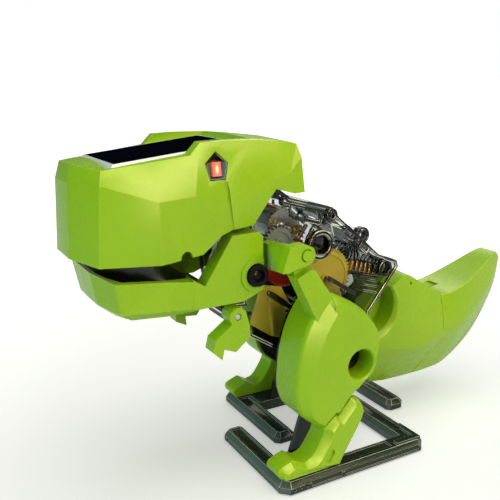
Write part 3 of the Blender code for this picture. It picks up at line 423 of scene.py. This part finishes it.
def ring_mesh(rings, around=False):
    """Quads between rings of points, capped at both ends or closed on itself."""
    bm = bmesh.new()
    loops = [[bm.verts.new(p) for p in ring] for ring in rings]
    pairs = list(zip(loops, loops[1:])) + ([(loops[-1], loops[0])] if around else [])
    for a, b in pairs:
        for i in range(len(a)):
            j = (i + 1) % len(a)
            bm.faces.new((a[i], a[j], b[j], b[i]))
    if not around:
        bm.faces.new(loops[0][::-1])
        bm.faces.new(loops[-1])
    return bm


def layers(shapes):
    """Rings from (X, side view outline) pairs."""
    return ring_mesh([[(x, p[0], p[1]) for p in outline] for x, outline in shapes])


def slab(outline, x0, x1):
    return layers(((x0, outline), (x1, outline)))


def turned(centre, profile, sides=40, around=True):
    """Turned about an X axis; the profile is (X, radius) pairs."""
    rings = []
    for x, radius in profile:
        rings.append([(x, y, z) for y, z in arc(centre, radius, 0, 360 * (1 - 1 / sides), sides - 1)])
    return ring_mesh(rings, around)


def washer(centre, outer, inner, x0, x1, sides=40):
    return turned(centre, ((x0, inner), (x0, outer), (x1, outer), (x1, inner)), sides)


def disc(centre, radius, x0, x1, sides=40):
    return turned(centre, ((x0, radius), (x1, radius)), sides, around=False)


def beam(start, end, width, x0, x1):
    """A straight bar with round ends, seen from the side."""
    start, end = Vector(start), Vector(end)
    heading = math.degrees(math.atan2(end.y - start.y, end.x - start.x))
    outline = arc(end, width / 2, heading - 90, heading + 90, 6)
    outline += arc(start, width / 2, heading + 90, heading + 270, 6)
    return slab(outline, x0, x1)


def band(outline, width, x0, x1):
    """A strip that follows the inside of an outline."""
    inner = shrink(outline, width)
    rings = [[(x, p[0], p[1]) for p in shape] for x, shape in
             ((x0, outline), (x1, outline), (x1, inner), (x0, inner))]
    return ring_mesh(rings, around=True)


def brick(x, y, z):
    return slab(((y[0], z[0]), (y[1], z[0]), (y[1], z[1]), (y[0], z[1])), x[0], x[1])


def across(bm, side=1, shift=0.0):
    """Moves a mesh to the given side of the toy, and along Y."""
    for vert in bm.verts:
        vert.co.x *= side
        vert.co.y += shift
    return bm


def object_from(bm, name):
    bmesh.ops.remove_doubles(bm, verts=bm.verts, dist=0.0005)
    bmesh.ops.recalc_face_normals(bm, faces=bm.faces)
    bmesh.ops.scale(bm, vec=(MM, MM, MM), verts=bm.verts)
    mesh = bpy.data.meshes.new(name)
    bm.to_mesh(mesh)
    bm.free()
    item = bpy.data.objects.new(name, mesh)
    bpy.context.scene.collection.objects.link(item)
    return item


def piece(name, bm, body, slot, width=0.3, mats=None, tools=(), added=(), angle=28, degrees=32):
    """A finished part: solids joined, openings cut, edges rounded, on its body."""
    item = object_from(bm, name)
    for operation, group in (("UNION", added), ("DIFFERENCE", tools)):
        for index, shape in enumerate(group):
            boolean(item, object_from(shape, f"{name}.{operation.lower()}{index}"), operation)
    if added or tools:
        bpy.context.view_layer.update()
        solid = item.evaluated_get(bpy.context.evaluated_depsgraph_get())
        mesh = bpy.data.meshes.new_from_object(solid)
        for modifier in list(item.modifiers):
            bpy.data.objects.remove(modifier.object)
        item.modifiers.clear()
        item.data = mesh
    for mat in mats or BY_SLOT[slot]:
        item.data.materials.append(mat)
    if width:
        soften(item, width, angle, degrees)
    else:
        shade(item, degrees)
    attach(item, body)
    return item


def boolean(item, tool, operation="DIFFERENCE"):
    modifier = item.modifiers.new(operation.lower(), "BOOLEAN")
    modifier.operation = operation
    modifier.solver = "EXACT"
    modifier.object = tool
    tool.hide_render = True
    tool.display_type = "WIRE"


def carve(node, *shapes):
    """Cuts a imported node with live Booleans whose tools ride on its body."""
    for index, shape in enumerate(shapes):
        tool = object_from(shape, f"{node}.cut{index}")
        boolean(nodes[node], tool)
        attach(tool, BODY_OF[node])


SIDES = ((1, "left", 0.0), (-1, "right", LEG_SHIFT))


# --------------------------------------------------------------------- legs

THIGH = [
    (-24.5, 68.4), (-29.6, 60.8), (-32.7, 52.0), (-34.1, 42.0), (-33.9, 33.5), (-30.6, 26.4),
    (-23.2, 20.8), (-17.9, 25.0), (-16.2, 24.6), (-11.4, 30.3), (-5.4, 34.6), (-0.6, 40.6),
    (1.6, 48.6), (0.4, 55.8), (-5.6, 62.8), (-13.5, 68.2), (-20.0, 70.8),
]
THIGH_CORNERS = (6, 7, 8)
ARM_LINK = [
    (-26.6, 62.3), (-35.2, 78.9), (-30.0, 81.4), (-28.2, 81.4), (-21.0, 71.0), (-19.0, 65.0),
]
SHIN = [
    (-22.8, 20.3), (-17.8, 24.3), (-16.0, 23.9), (-11.0, 29.8), (-8.6, 29.9), (-5.9, 26.4),
    (-6.2, 21.5), (-14.4, 7.8), (-15.6, 5.0), (-39.6, 5.0), (-41.6, 7.0), (-41.2, 9.6),
    (-35.6, 11.8), (-31.4, 9.4), (-28.0, 10.4), (-25.0, 14.2), (-22.7, 18.2),
]
SHIN_CORNERS = (0, 1, 2, 3, 8, 9, 12, 13)
LIGHT_SIDE = Vector((-0.85, 0.53))      # front and top of the leg, where its broad facet lies
ROCKER_PIN = (-32.1, 86.9)
HUB = 5.7


def facet(base, extra):
    """A margin that grows towards the front and top."""
    return lambda normal: base + extra * max(0.0, normal.dot(LIGHT_SIDE)) ** 1.5


def build_thighs():
    """Egg-shaped covers with a broad front facet, a deep hub and an upper link."""
    outline = spline(THIGH, 5, THIGH_CORNERS)
    shell = ((22.2, outline), (34.2, outline), (35.1, shrink(outline, 0.25)), (35.9, shrink(outline, 0.8)),
             (37.9, shrink(outline, facet(1.6, 5.4))))
    egg = [point for index, point in enumerate(THIGH) if index not in THIGH_CORNERS[1:]]
    room = spline(shrink(egg, 2.4), 4)
    for side, name, shift in SIDES:
        added = [disc(CRANK_PIN, HUB + 1.6, 24.0, 37.2), slab(ARM_LINK, 30.0, 36.3),
                 slab([(-34.4, 79.0), (-29.0, 79.0)] + arc(ROCKER_PIN, 2.9, -25, 205, 16), 30.0, 33.1)]
        hub = turned(CRANK_PIN, ((20.0, HUB), (37.3, HUB), (38.2, HUB + 0.9)), 48, around=False)
        tools = [slab(room, 20.0, 34.2), hub, disc(ROCKER_PIN, 2.2, 25, 40)]
        # the room is cut first, so that the hub tube and link reach into it
        body = object_cut(layers(shell), tools[0])
        across(body, side, shift)
        item = piece("thigh_cover_" + name, body, "leg_" + name, "lime_plastic", 0.35,
                     tools=[across(t, side, shift) for t in tools[1:]],
                     added=[across(a, side, shift) for a in added], angle=30, degrees=13)
        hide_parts("thigh_" + name)


def object_cut(bm, tool):
    """A mesh with another cut out of it, both in millimetres."""
    item, cutter = object_from(bm, "work"), object_from(tool, "work_tool")
    boolean(item, cutter)
    bpy.context.view_layer.update()
    mesh = bpy.data.meshes.new_from_object(item.evaluated_get(bpy.context.evaluated_depsgraph_get()))
    result = bmesh.new()
    result.from_mesh(mesh)
    bmesh.ops.scale(result, vec=(1 / MM, 1 / MM, 1 / MM), verts=result.verts)
    for used in (item, cutter):
        bpy.data.objects.remove(used)
    return result


def build_shins():
    """Lower legs with a front facet, a toe and a shallow pocket in the outer face."""
    outline = spline(SHIN, 4, SHIN_CORNERS)
    shell = ((28.0, shrink(outline, 0.4)), (28.4, outline), (36.3, outline),
             (38.2, shrink(outline, facet(0.7, 2.6))))
    pocket = beam((-19.6, 10.9), (-21.3, 8.3), 2.3, 37.3, 40.0)
    for side, name, shift in SIDES:
        item = piece("shin_cover_" + name, across(layers(shell), side, shift), "leg_" + name, "lime_plastic",
                     0.35, tools=[across(pocket.copy(), side, shift)], angle=18, degrees=20)
        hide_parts("shin_" + name)
    pocket.free()


def detail_feet():
    """Channels, ledges and windows cut into the clear foot frames."""
    for side, name, shift in SIDES:
        node = "foot_" + name
        low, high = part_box(node)
        front, rear = low.y / MM, high.y / MM
        outer, top = 39.5, 4.6
        rear_window = brick((outer - 0.7, outer + 1), (front + 27.0, rear - 4.2), (1.0, 3.0))
        front_window = brick((outer - 0.7, outer + 1), (front + 12.0, front + 25.5), (1.0, 3.0))
        trough = brick((outer - 7.4, outer - 3.0), (front + 29.0, rear - 16.0), (top - 0.8, top + 1))
        shapes = [rear_window, front_window, trough]
        for edge, inward in ((front, 1), (rear, -1)):
            ledge = sorted((edge + inward * 2.5, edge + inward * 6.9))
            shapes.append(brick((-5.4, outer - 11.5), ledge, (top - 0.9, top + 1)))
            lip = sorted((edge - inward * 1.0, edge + inward * 0.45))
            shapes.append(brick((-4.0, outer - 6.0), lip, (0.9, 1.9)))
        for hole in range(3):
            centre = (front + 5.0 + 2.6 * hole, 2.0)
            shapes.append(disc(centre, 0.55, outer - 1.0, outer + 1.0, 16))
        carve(node, *[across(s, side) for s in shapes])


# --------------------------------------------------------------------- tail

def hull(columns):
    """A symmetric closed hull; columns run from bottom centre to top centre."""
    bm = bmesh.new()
    sides = {}
    for side in (1, -1):
        sides[side] = [[bm.verts.new((p[0] * side, p[1], p[2])) for p in column] for column in columns]
        for near, far in zip(sides[side], sides[side][1:]):
            for i in range(len(near) - 1):
                bm.faces.new((near[i], near[i + 1], far[i + 1], far[i]))
    for end in (0, -1):
        left, right = sides[1][end], sides[-1][end]
        for i in range(len(left) - 1):
            bm.faces.new((left[i], left[i + 1], right[i + 1], right[i]))
    bmesh.ops.remove_doubles(bm, verts=bm.verts, dist=0.001)
    bmesh.ops.dissolve_degenerate(bm, dist=0.0005, edges=bm.edges)
    return bm


def fair(columns, along, over):
    """More columns between the given ones, each rounded above its belly crease."""
    rails = [spline(rail, along, closed=False) for rail in zip(*columns)]
    result = []
    for column in zip(*rails):
        result.append(list(column[:2]) + spline(column[2:5], over, closed=False) + [column[5]])
    return result


TAIL_BASE = [
    [(0, 24.5, 15.0), (4.0, 24.5, 15.0), (12.4, 18.2, 30.5),
     (15.0, 14.6, 41.0), (14.2, 14.2, 54.6), (0, 14.2, 54.6)],
    [(0, 32.0, 14.2), (4.4, 32.0, 14.2), (13.0, 28.0, 29.5),
     (15.4, 25.5, 38.4), (14.0, 27.2, 61.6), (0, 27.2, 62.4)],
    [(0, 38.0, 14.1), (4.6, 38.0, 14.1), (13.2, 38.0, 29.0),
     (15.6, 38.0, 35.6), (13.4, 34.6, 64.4), (0, 34.6, 65.0)],
    [(0, 44.0, 14.1), (4.7, 44.0, 14.1), (13.2, 47.6, 29.0),
     (15.4, 48.0, 35.8), (12.4, 44.0, 59.2), (0, 44.0, 59.8)],
    [(0, 48.4, 14.1), (4.8, 48.4, 14.1), (12.6, 54.8, 30.4),
     (14.6, 56.4, 37.2), (11.2, 56.6, 51.8), (0, 56.6, 51.8)],
]
TAIL_TIP = [
    [(0, 48.9, 14.1), (4.8, 48.9, 14.1), (12.4, 55.3, 30.4),
     (14.4, 56.9, 37.2), (11.0, 57.1, 51.6), (0, 57.1, 51.6)],
    [(0, 57.6, 14.3), (4.6, 57.6, 14.3), (11.8, 62.5, 30.8),
     (13.2, 66.0, 38.2), (10.8, 63.5, 51.8), (0, 63.5, 51.8)],
    [(0, 68.9, 16.2), (4.2, 68.9, 16.2), (10.6, 72.0, 33.0),
     (11.8, 73.5, 40.5), (10.2, 72.0, 54.0), (0, 72.0, 54.0)],
    [(0, 85.8, 27.4), (3.4, 85.8, 27.4), (7.6, 85.3, 40.5),
     (8.6, 85.0, 46.0), (8.4, 81.6, 58.0), (0, 81.6, 58.0)],
    [(0, 99.2, 45.9), (2.2, 99.2, 45.9), (5.0, 96.4, 52.5),
     (5.6, 95.0, 55.0), (6.0, 92.0, 63.0), (0, 92.0, 63.0)],
    [(0, 103.2, 60.2), (1.2, 103.2, 60.4), (2.4, 102.0, 61.0),
     (3.4, 100.4, 62.0), (4.8, 97.0, 64.8), (0, 97.0, 64.8)],
]
SCOOP = (15.6, 53.4)                    # centre of the round hollow in the tail's front


def build_tail():
    """Smoothly lofted base and tip with the scoop, its chamfer, holes and peg slot."""
    scoop = ((5.0, 12.4), (13.4, 12.4), (17.0, 16.0))
    tools = []
    for side in (1, -1):
        tools.append(across(turned(SCOOP, scoop, 64, around=False), side))
        tools.append(across(disc((36.8, 60.6), 0.6, 12.0, 16.0, 20), side))
    base = piece("tail_base_cover", hull(fair(TAIL_BASE, 4, 3)), "body", "lime_plastic", 0.5, tools=tools,
                 angle=30, degrees=13)
    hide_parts("tail_base")
    tools = [brick((-6.6, -0.2), (61.4, 66.2), (51.2, 60)), brick((-2.6, -1.5), (62.0, 65.6), (46, 60))]
    tip = piece("tail_tip_cover", hull(fair(TAIL_TIP, 4, 3)), "body", "lime_plastic", 0.5, tools=tools,
                angle=30, degrees=13)
    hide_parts("tail_tip")


# ------------------------------------------------------------------ gearbox

GEARBOX = [
    (-45.6, 70.0), (-44.6, 66.4), (-50.4, 66.9), (-52.9, 64.2), (-50.4, 61.5), (-43.9, 61.0),
    (-42.3, 53.4), (-28.5, 44.6), (-17.5, 40.0), (-13.0, 33.5), (-5.0, 29.6), (6.0, 29.6),
    (12.8, 34.2), (13.7, 42.0), (12.4, 53.5), (26.0, 70.2), (25.2, 73.0), (22.2, 74.2), (15.6, 76.8),
    (-4.2, 93.6), (-7.2, 97.6), (-26.0, 102.8), (-30.8, 106.2), (-36.5, 107.2), (-46.5, 105.0),
    (-48.5, 98.0), (-47.0, 84.0),
]
WALL_X = 16.5                           # outer face of the gearbox's side wall
PROUD_X = 17.05                         # raised detail stays clear of jaw and cranks
BACK_SLOPE = -40.3                      # degrees, of the gearbox's back in side view
BOSS = (-12.0, 83.6)
DRUM = (19.5, 70.2)
LUG = (22.4, 79.6)
MARKS = {                               # raised bars on the side wall: start, end, width
    "ridge": ((-28.0, 100.9), (-8.0, 95.2), 0.9),
    "shelf": ((-24.0, 95.4), (-13.4, 92.3), 1.5),
    "post": ((-12.7, 95.4), (-12.7, 92.6), 0.8),
    "stay": ((-25.9, 99.8), (-25.4, 95.9), 0.8),
    "strut_front": ((-18.8, 91.8), (-22.0, 87.4), 1.3),
    "strut_rear": ((-15.7, 90.2), (-18.0, 87.2), 1.0),
    "bumper": ((-8.4, 70.5), (4.3, 62.4), 1.7),
    "rail_high": ((5.0, 68.6), (15.4, 65.6), 0.8),
    "rail_mid": ((5.2, 66.3), (15.2, 63.4), 0.8),
    "rail_low": ((5.2, 64.0), (15.0, 61.0), 0.8),
    "slot_bar": ((-33.9, 68.2), (-24.6, 61.2), 2.3),
}


def build_gearbox():
    """Rims, ridges, bosses and the drum that show on the clear gearbox, in painted dark smoke with painted
    highlights, and a plate of painted reflection.
    """
    root = WALL_X - 0.6                 # raised details start inside the wall
    for side, name in ((1, "left"), (-1, "right")):
        def put(label, bm, width=0.22, mats=(SMOKE_PAINTED_DARK, PAINTED_GLINT)):
            return piece(f"{label}_{name}", across(bm, side), "body", "smoky_clear", width, mats)

        put("gearbox_rim", band(GEARBOX, 1.1, root, PROUD_X))
        for label, (start, end, width) in MARKS.items():
            put("gearbox_" + label, beam(start, end, width, root, PROUD_X))
        put("gearbox_boss", turned(BOSS, ((15.9, 3.7), (15.9, 5.6), (16.8, 5.6), (PROUD_X, 5.0),
                                          (PROUD_X, 4.3), (16.7, 3.7))))
        put("gearbox_tab", washer((-7.4, 94.6), 2.5, 1.5, 14.5, PROUD_X))
        put("drum_rim", washer(DRUM, 3.3, 2.2, 15.0, PROUD_X))
        put("small_boss", washer((-0.6, 64.6), 1.5, 0.8, root, PROUD_X, 24), 0.15)
        # a thin pale plate on the wall's flat: painted reflection
        put("haze_panel", slab([(-7.9, 91.3), (0.0, 87.8), (-2.3, 83.9), (-6.6, 86.6)], 16.3, 16.9), 0.3,
            (PAINTED_REFLECTION, PAINTED_GLINT))
        for index, (y, z) in enumerate(((1.2, 86.9), (8.6, 80.3))):
            frame_outline = slope_box((y, z), 5.4, 3.4)
            put(f"window_rim_{index}", band(frame_outline, 0.8, root, PROUD_X))


def slope_box(centre, length, height):
    """A side view rectangle that lies along the sloping back."""
    turn = Matrix.Rotation(math.radians(BACK_SLOPE), 2)
    corners = ((-1, -1), (1, -1), (1, 1), (-1, 1))
    return [Vector(centre) + turn @ Vector((a * length / 2, b * height / 2)) for a, b in corners]


def build_inside():
    """The tan bracket, wells, barrel and gear webs that show through the clear walls; the black wells are
    painted shade.
    """
    def put(label, bm, width):
        return piece(label, bm, "body", "smoky_clear", width, (SMOKE_PAINTED_DARK, PAINTED_GLINT))

    bracket = [(-34.0, 69.6), (-24.8, 67.6), (-17.4, 54.4), (-22.6, 46.4), (-29.0, 48.6), (-38.2, 55.0)]
    slots = [brick((8, 12), (-22.6, -19.8), (z, z + 0.9)) for z in (52.4, 54.6, 56.8)]
    piece("inner_bracket", slab(bracket, 9.0, 9.8), "body", "yellow_nylon", 0.2, tools=slots)
    piece("bracket_brace", beam((-30.4, 64.4), (-28.2, 49.6), 1.5, 9.7, 11.4), "body", "yellow_nylon", 0.3)
    for side, name in ((1, "left"), (-1, "right")):
        well, floor = washer(BOSS, 5.1, 3.8, 13.0, 16.0), disc(BOSS, 4.2, 12.7, 13.1)
        # a black ring in each boss: painted shade for its dark outline
        piece("boss_well_" + name, across(well, side), "body", "smoky_clear", 0.15, (BLACK,))
        piece("boss_floor_" + name, across(floor, side), "body", "smoky_clear", 0, (SMOKE_PAINTED_DARK,))
    for label, outer, inner in (("outer", 3.6, 2.8), ("inner", 2.1, 1.4)):
        put("lug_rim_" + label, washer(LUG, outer, inner, -4.7, -1.7), 0.15)
    for side, name in ((1, "left"), (-1, "right")):
        for index in range(5):
            x0 = 4.4 + 2.1 * index
            put(f"drum_ring_{name}_{index}", across(washer(DRUM, 3.5, 3.05, x0, x0 + 1.0), side), 0.15)
    for index in range(6):
        start = Vector((6.4 + 2.2 * index, 74.4 - 0.65 * index))
        ring = beam(start, start + Vector((-0.8, -3.8)), 1.1, 10.0, 13.0)
        piece(f"barrel_rib_{index}", ring, "body", "brass", 0.15)
    put("barrel_top", beam((5.2, 75.2), (18.6, 71.4), 0.9, 12.0, 14.2), 0.2)
    put("barrel_base", beam((4.6, 69.8), (17.6, 66.2), 0.9, 12.0, 14.2), 0.2)
    for label, centre, body, slot, radius in (("yellow", YELLOW_AXIS, "yellow_drive", "yellow_nylon", 10.2),
                                              ("grey", GREY_AXIS, "grey_drive", "grey_nylon", 5.2)):
        profile = ((11.8, radius - 1.0), (11.8, radius), (12.35, radius), (12.35, radius - 1.0))
        piece(label + "_gear_rim", turned(centre, profile, 64), body, slot, 0.12)
        piece(label + "_gear_hub", washer(centre, 2.3, 1.1, 11.8, 12.6, 32), body, slot, 0.15)


def detail_motor():
    """Terminal tabs and a seam ring on the little motor."""
    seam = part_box("motor_can")[0].x / MM + 1.2
    piece("motor_seam", washer(MOTOR, 7.45, 7.2, seam, seam + 0.8, 48), "body", "steel", 0.1)
    for index, offset in enumerate((-3.0, 3.0)):
        y, z = MOTOR.x + offset, MOTOR.y
        piece(f"motor_tab_{index}", brick((-15.0, -13.2), (y - 0.9, y + 0.9), (z - 0.25, z + 0.25)),
              "body", "brass", 0.08)


# --------------------------------------------------------------------- head

EYE_TILT = 10.8
EYE_SHAPE = ((0.0, 4.7), (3.9, 1.1), (2.7, -4.1), (-2.7, -4.1), (-3.9, 1.1))
EYE_PANE = ((0.0, 2.5), (2.25, 1.95), (1.95, -3.4), (-1.95, -3.4), (-2.25, 1.95))
EYE_CENTRE = (22.75, -57.9, 116.2)


def build_eyes():
    """A pentagonal socket whose facets slope in to the lamp; the top two are black, painted shade in the
    socket's upper part.
    """
    for side, name in ((1, "left"), (-1, "right")):
        shapes = ((-2.0, EYE_SHAPE), (0.1, EYE_SHAPE), (0.1, [(y * 0.94, z * 0.94) for y, z in EYE_SHAPE]),
                  (-0.8, EYE_PANE), (-1.9, EYE_PANE))
        bm = ring_mesh([[(x, y, z) for y, z in outline] for x, outline in shapes], around=True)
        tilt = Matrix.Rotation(math.radians(-EYE_TILT), 4, "Y")
        bmesh.ops.transform(bm, matrix=Matrix.Translation(EYE_CENTRE) @ tilt, verts=bm.verts)
        across(bm, side)
        item = piece("eye_facets_" + name, bm, "body", "eye_lens", 0.1, (LENS, BLACK))
        item.modifiers["round"].material = -1
        # facets high in the socket turn black: painted shade
        for face in item.data.polygons:
            centre = face.center / MM
            if centre.z > EYE_CENTRE[2] + 1.5 and abs(face.normal.z) > 0.1:
                face.material_index = 1
        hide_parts("eye_lens_" + name)


def detail_head():
    """The seam that runs down behind each eye."""
    cuts = []
    for side in (1, -1):
        seam = [(-55.9, 111.4), (-54.5, 111.4), (-52.0, 94.0), (-53.2, 94.0)]
        cuts.append(across(slab(seam, 23.8, 26.5), side))
    carve("head_shell", *cuts)


def detail_jaw():
    """The dark deck that closes the jaw's tray a little below its rim: painted shade inside the tray."""
    half = [(9.2, -93.6), (19.0, -89.8), (21.1, -76.0), (17.4, -62.6)]
    outline = half + [(-x, y) for x, y in reversed(half)]
    rings = [[(x, y, low + 76.9 - 0.145 * (y + 62.6)) for x, y in outline] for low in (-0.8, 0.0)]
    piece("jaw_painted_shade_deck", ring_mesh(rings), "jaw", "black_plastic", 0.15)


def detail_screws():
    """Cross recesses in the gearbox's screw heads."""
    arm, slot, deep = 1.15, 0.28, -17.35
    for index in range(1, 5):
        name = f"gearbox_screw_{index}"
        centre = middle(name).yz
        cross = [(slot, arm), (slot, slot), (arm, slot), (arm, -slot), (slot, -slot), (slot, -arm),
                 (-slot, -arm), (-slot, -slot), (-arm, -slot), (-arm, slot), (-slot, slot), (-slot, arm)]
        carve(name, slab([(centre.x + y, centre.y + z) for y, z in cross], deep, -19.0))


def detail_pins():
    """A collar and a domed core on each jaw pin."""
    for side, name in ((1, "left"), (-1, "right")):
        collar = ((24.6, 2.4), (24.6, 3.5), (25.25, 3.3), (25.4, 2.9), (25.2, 2.5))
        piece("jaw_pin_collar_" + name, across(turned(JAW_PIVOT, collar, 48), side), "body",
              "black_plastic", 0)
        dome = [(24.0, 1.9), (24.5, 1.8), (24.8, 1.3), (24.9, 0.5)]
        piece("jaw_pin_core_" + name, across(turned(JAW_PIVOT, dome, 32, around=False), side), "body",
              "black_plastic", 0)


# edge widths by the start of a node's name, of which the first that fits counts
WIDTHS = {"head_shell": 0.9, "jaw": 0.5, "arm": 0.45, "rocker_left": 0.4, "rocker_right": 0.4,
          "foot": 0.28, "gearbox_left": 0.2, "gearbox_right": 0.2, "leg_plate": 0.3, "palate": 0.3,
          "panel": 0.2, "crank": 0.3, "rocker_pin": 0.35, "motor": 0.25,
          "gearbox_screw": 0.12}
SPECIAL = {"leg_plate_left": (SMOKE_PAINTED_DARK, PAINTED_GLINT), "leg_plate_right": (SMOKE_PAINTED_DARK, PAINTED_GLINT),
           "foot_left": (FOOT_SMOKE_PAINTED_SHEEN, FOOT_EDGE_PAINTED_HIGHLIGHT), "foot_right": (FOOT_SMOKE_PAINTED_SHEEN, FOOT_EDGE_PAINTED_HIGHLIGHT),
           "idler_gear": (YELLOW,)}


def finish_nodes():
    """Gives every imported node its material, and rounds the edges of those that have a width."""
    for name, item in nodes.items():
        item.data.materials.clear()
        for mat in SPECIAL.get(name, BY_SLOT[SLOT_OF[name]]):
            item.data.materials.append(mat)
        width = next((w for key, w in WIDTHS.items() if name.startswith(key)), 0)
        if name == "head_shell":
            soften(item, width, 13, 16)
        elif width:
            soften(item, width)
        else:
            shade(item)


detail_feet()
detail_head()
detail_screws()
detail_jaw()
finish_nodes()
build_thighs()
build_shins()
build_tail()
build_gearbox()
build_inside()
detail_motor()
build_eyes()
detail_pins()


# ------------------------------------------------------------------ the set

FLOOR_RADIUS = 40                       # metres, so that the floor fills the picture
FLOOR_GAP = 0.0002


def set_stage():
    """Pale floor that glows like a light table, up to plain white far away."""
    bm = bmesh.new()
    below = Matrix.Translation((0, 0, -FLOOR_GAP))
    bmesh.ops.create_circle(bm, cap_ends=True, segments=64, radius=FLOOR_RADIUS, matrix=below)
    mesh = bpy.data.meshes.new("floor")
    bm.to_mesh(mesh)
    bm.free()
    floor = bpy.data.objects.new("floor", mesh)
    bpy.context.scene.collection.objects.link(floor)
    mat, shader, add, link = new_material("studio_floor")
    where = place(add)
    link(ramp(add, noise(add, where, 3.0), ((0.3, (0.93, 0.93, 0.94)), (0.7, (0.95, 0.95, 0.96)))),
         shader.inputs["Base Color"])
    away = add("ShaderNodeVectorMath", {0: where}, operation="LENGTH").outputs["Value"]
    seen = add("ShaderNodeLightPath").outputs["Is Camera Ray"]
    glow = add("ShaderNodeMapRange", {"Value": away, "From Min": 0.12, "From Max": 0.6,
                                      "To Min": 0.42, "To Max": 1.0})
    shown = add("ShaderNodeMix", {"Factor": seen, "A": 0.2, "B": glow.outputs["Result"]})
    shader.inputs["Emission Color"].default_value = (1.0, 1.0, 1.0, 1)
    link(shown.outputs["Result"], shader.inputs["Emission Strength"])
    shader.inputs["Roughness"].default_value = 0.7
    shader.inputs["Specular IOR Level"].default_value = 0.1
    mesh.materials.append(mat)
    return floor


def area_light(name, towards, away, size, power, colour, aim=(0, 0, 0.06)):
    """A soft box that stands in a direction from the toy, given as a vector."""
    data = bpy.data.lights.new(name, "AREA")
    data.shape = "RECTANGLE"
    data.size, data.size_y = size
    data.energy = power
    data.color = colour
    lamp = bpy.data.objects.new(name, data)
    aim = Vector(aim)
    lamp.location = aim + Vector(towards).normalized() * away
    lamp.rotation_euler = (aim - lamp.location).to_track_quat("-Z", "Y").to_euler()
    bpy.context.scene.collection.objects.link(lamp)
    return lamp


def set_lights(floor):
    """Soft boxes beside, before and above the toy, and a pale room.

    low, strip and back only make highlights: each stands where one of the toy's
    facets mirrors it into the camera.
    """
    warm = (1.0, 0.70, 0.33)
    high = area_light("key_high", (0.83, 0.24, 0.50), 0.9, (0.8, 0.32), 6.4, warm)
    low = area_light("key_low", (0.99, -0.09, 0.10), 0.9, (0.4, 0.3), 7.5, warm)
    strip = area_light("strip", (0.81, -0.03, 0.59), 0.9, (0.5, 0.3), 5.0, (1.0, 0.74, 0.4))
    back = area_light("back", (-0.66, 0.54, 0.52), 0.9, (0.45, 0.3), 1.4, (1.0, 0.95, 0.68))
    low.visible_diffuse = strip.visible_diffuse = back.visible_diffuse = False
    front = area_light("front", (0.30, -1.0, 0.30), 1.0, (0.6, 0.5), 3.0, (0.70, 1.0, 0.80))
    area_light("top", (0.15, 0.1, 1.0), 1.1, (1.2, 1.2), 7.5, (1.0, 0.98, 0.94))
    front.visible_glossy = False
    for lamp in (high, low, strip, back, front):
        off = bpy.data.collections.new(lamp.name + "_leaves_out")
        off.objects.link(floor)
        off.collection_objects[0].light_linking.link_state = "EXCLUDE"
        lamp.light_linking.receiver_collection = off
    world = bpy.data.worlds.new("studio")
    world.use_nodes = True
    tree = world.node_tree
    background = tree.nodes["Background"]
    path = tree.nodes.new("ShaderNodeLightPath")
    seen = tree.nodes.new("ShaderNodeMix")
    seen.data_type = "RGBA"
    tree.links.new(path.outputs["Is Camera Ray"], seen.inputs["Factor"])
    seen.inputs["A"].default_value = (0.19, 0.205, 0.17, 1)
    seen.inputs["B"].default_value = (1.0, 1.0, 1.0, 1)
    tree.links.new(seen.outputs["Result"], background.inputs["Color"])
    bpy.context.scene.world = world
    bpy.context.scene.view_settings.view_transform = "Standard"
    bpy.context.scene.cycles.transparent_max_bounces = 32


def set_camera():
    data = bpy.data.cameras.new("camera")
    data.lens = 48.74
    data.sensor_width = 36
    data.clip_start = 0.01
    camera = bpy.data.objects.new("camera", data)
    pitch, swing = math.radians(14.33), math.radians(29.4)
    look = Vector((-math.cos(swing) * math.cos(pitch), math.sin(swing) * math.cos(pitch), -math.sin(pitch)))
    camera.location = (0.216, -0.1545, 0.144)
    camera.rotation_euler = look.to_track_quat("-Z", "Y").to_euler()
    bpy.context.scene.collection.objects.link(camera)
    bpy.context.scene.camera = camera


set_lights(set_stage())
set_camera()
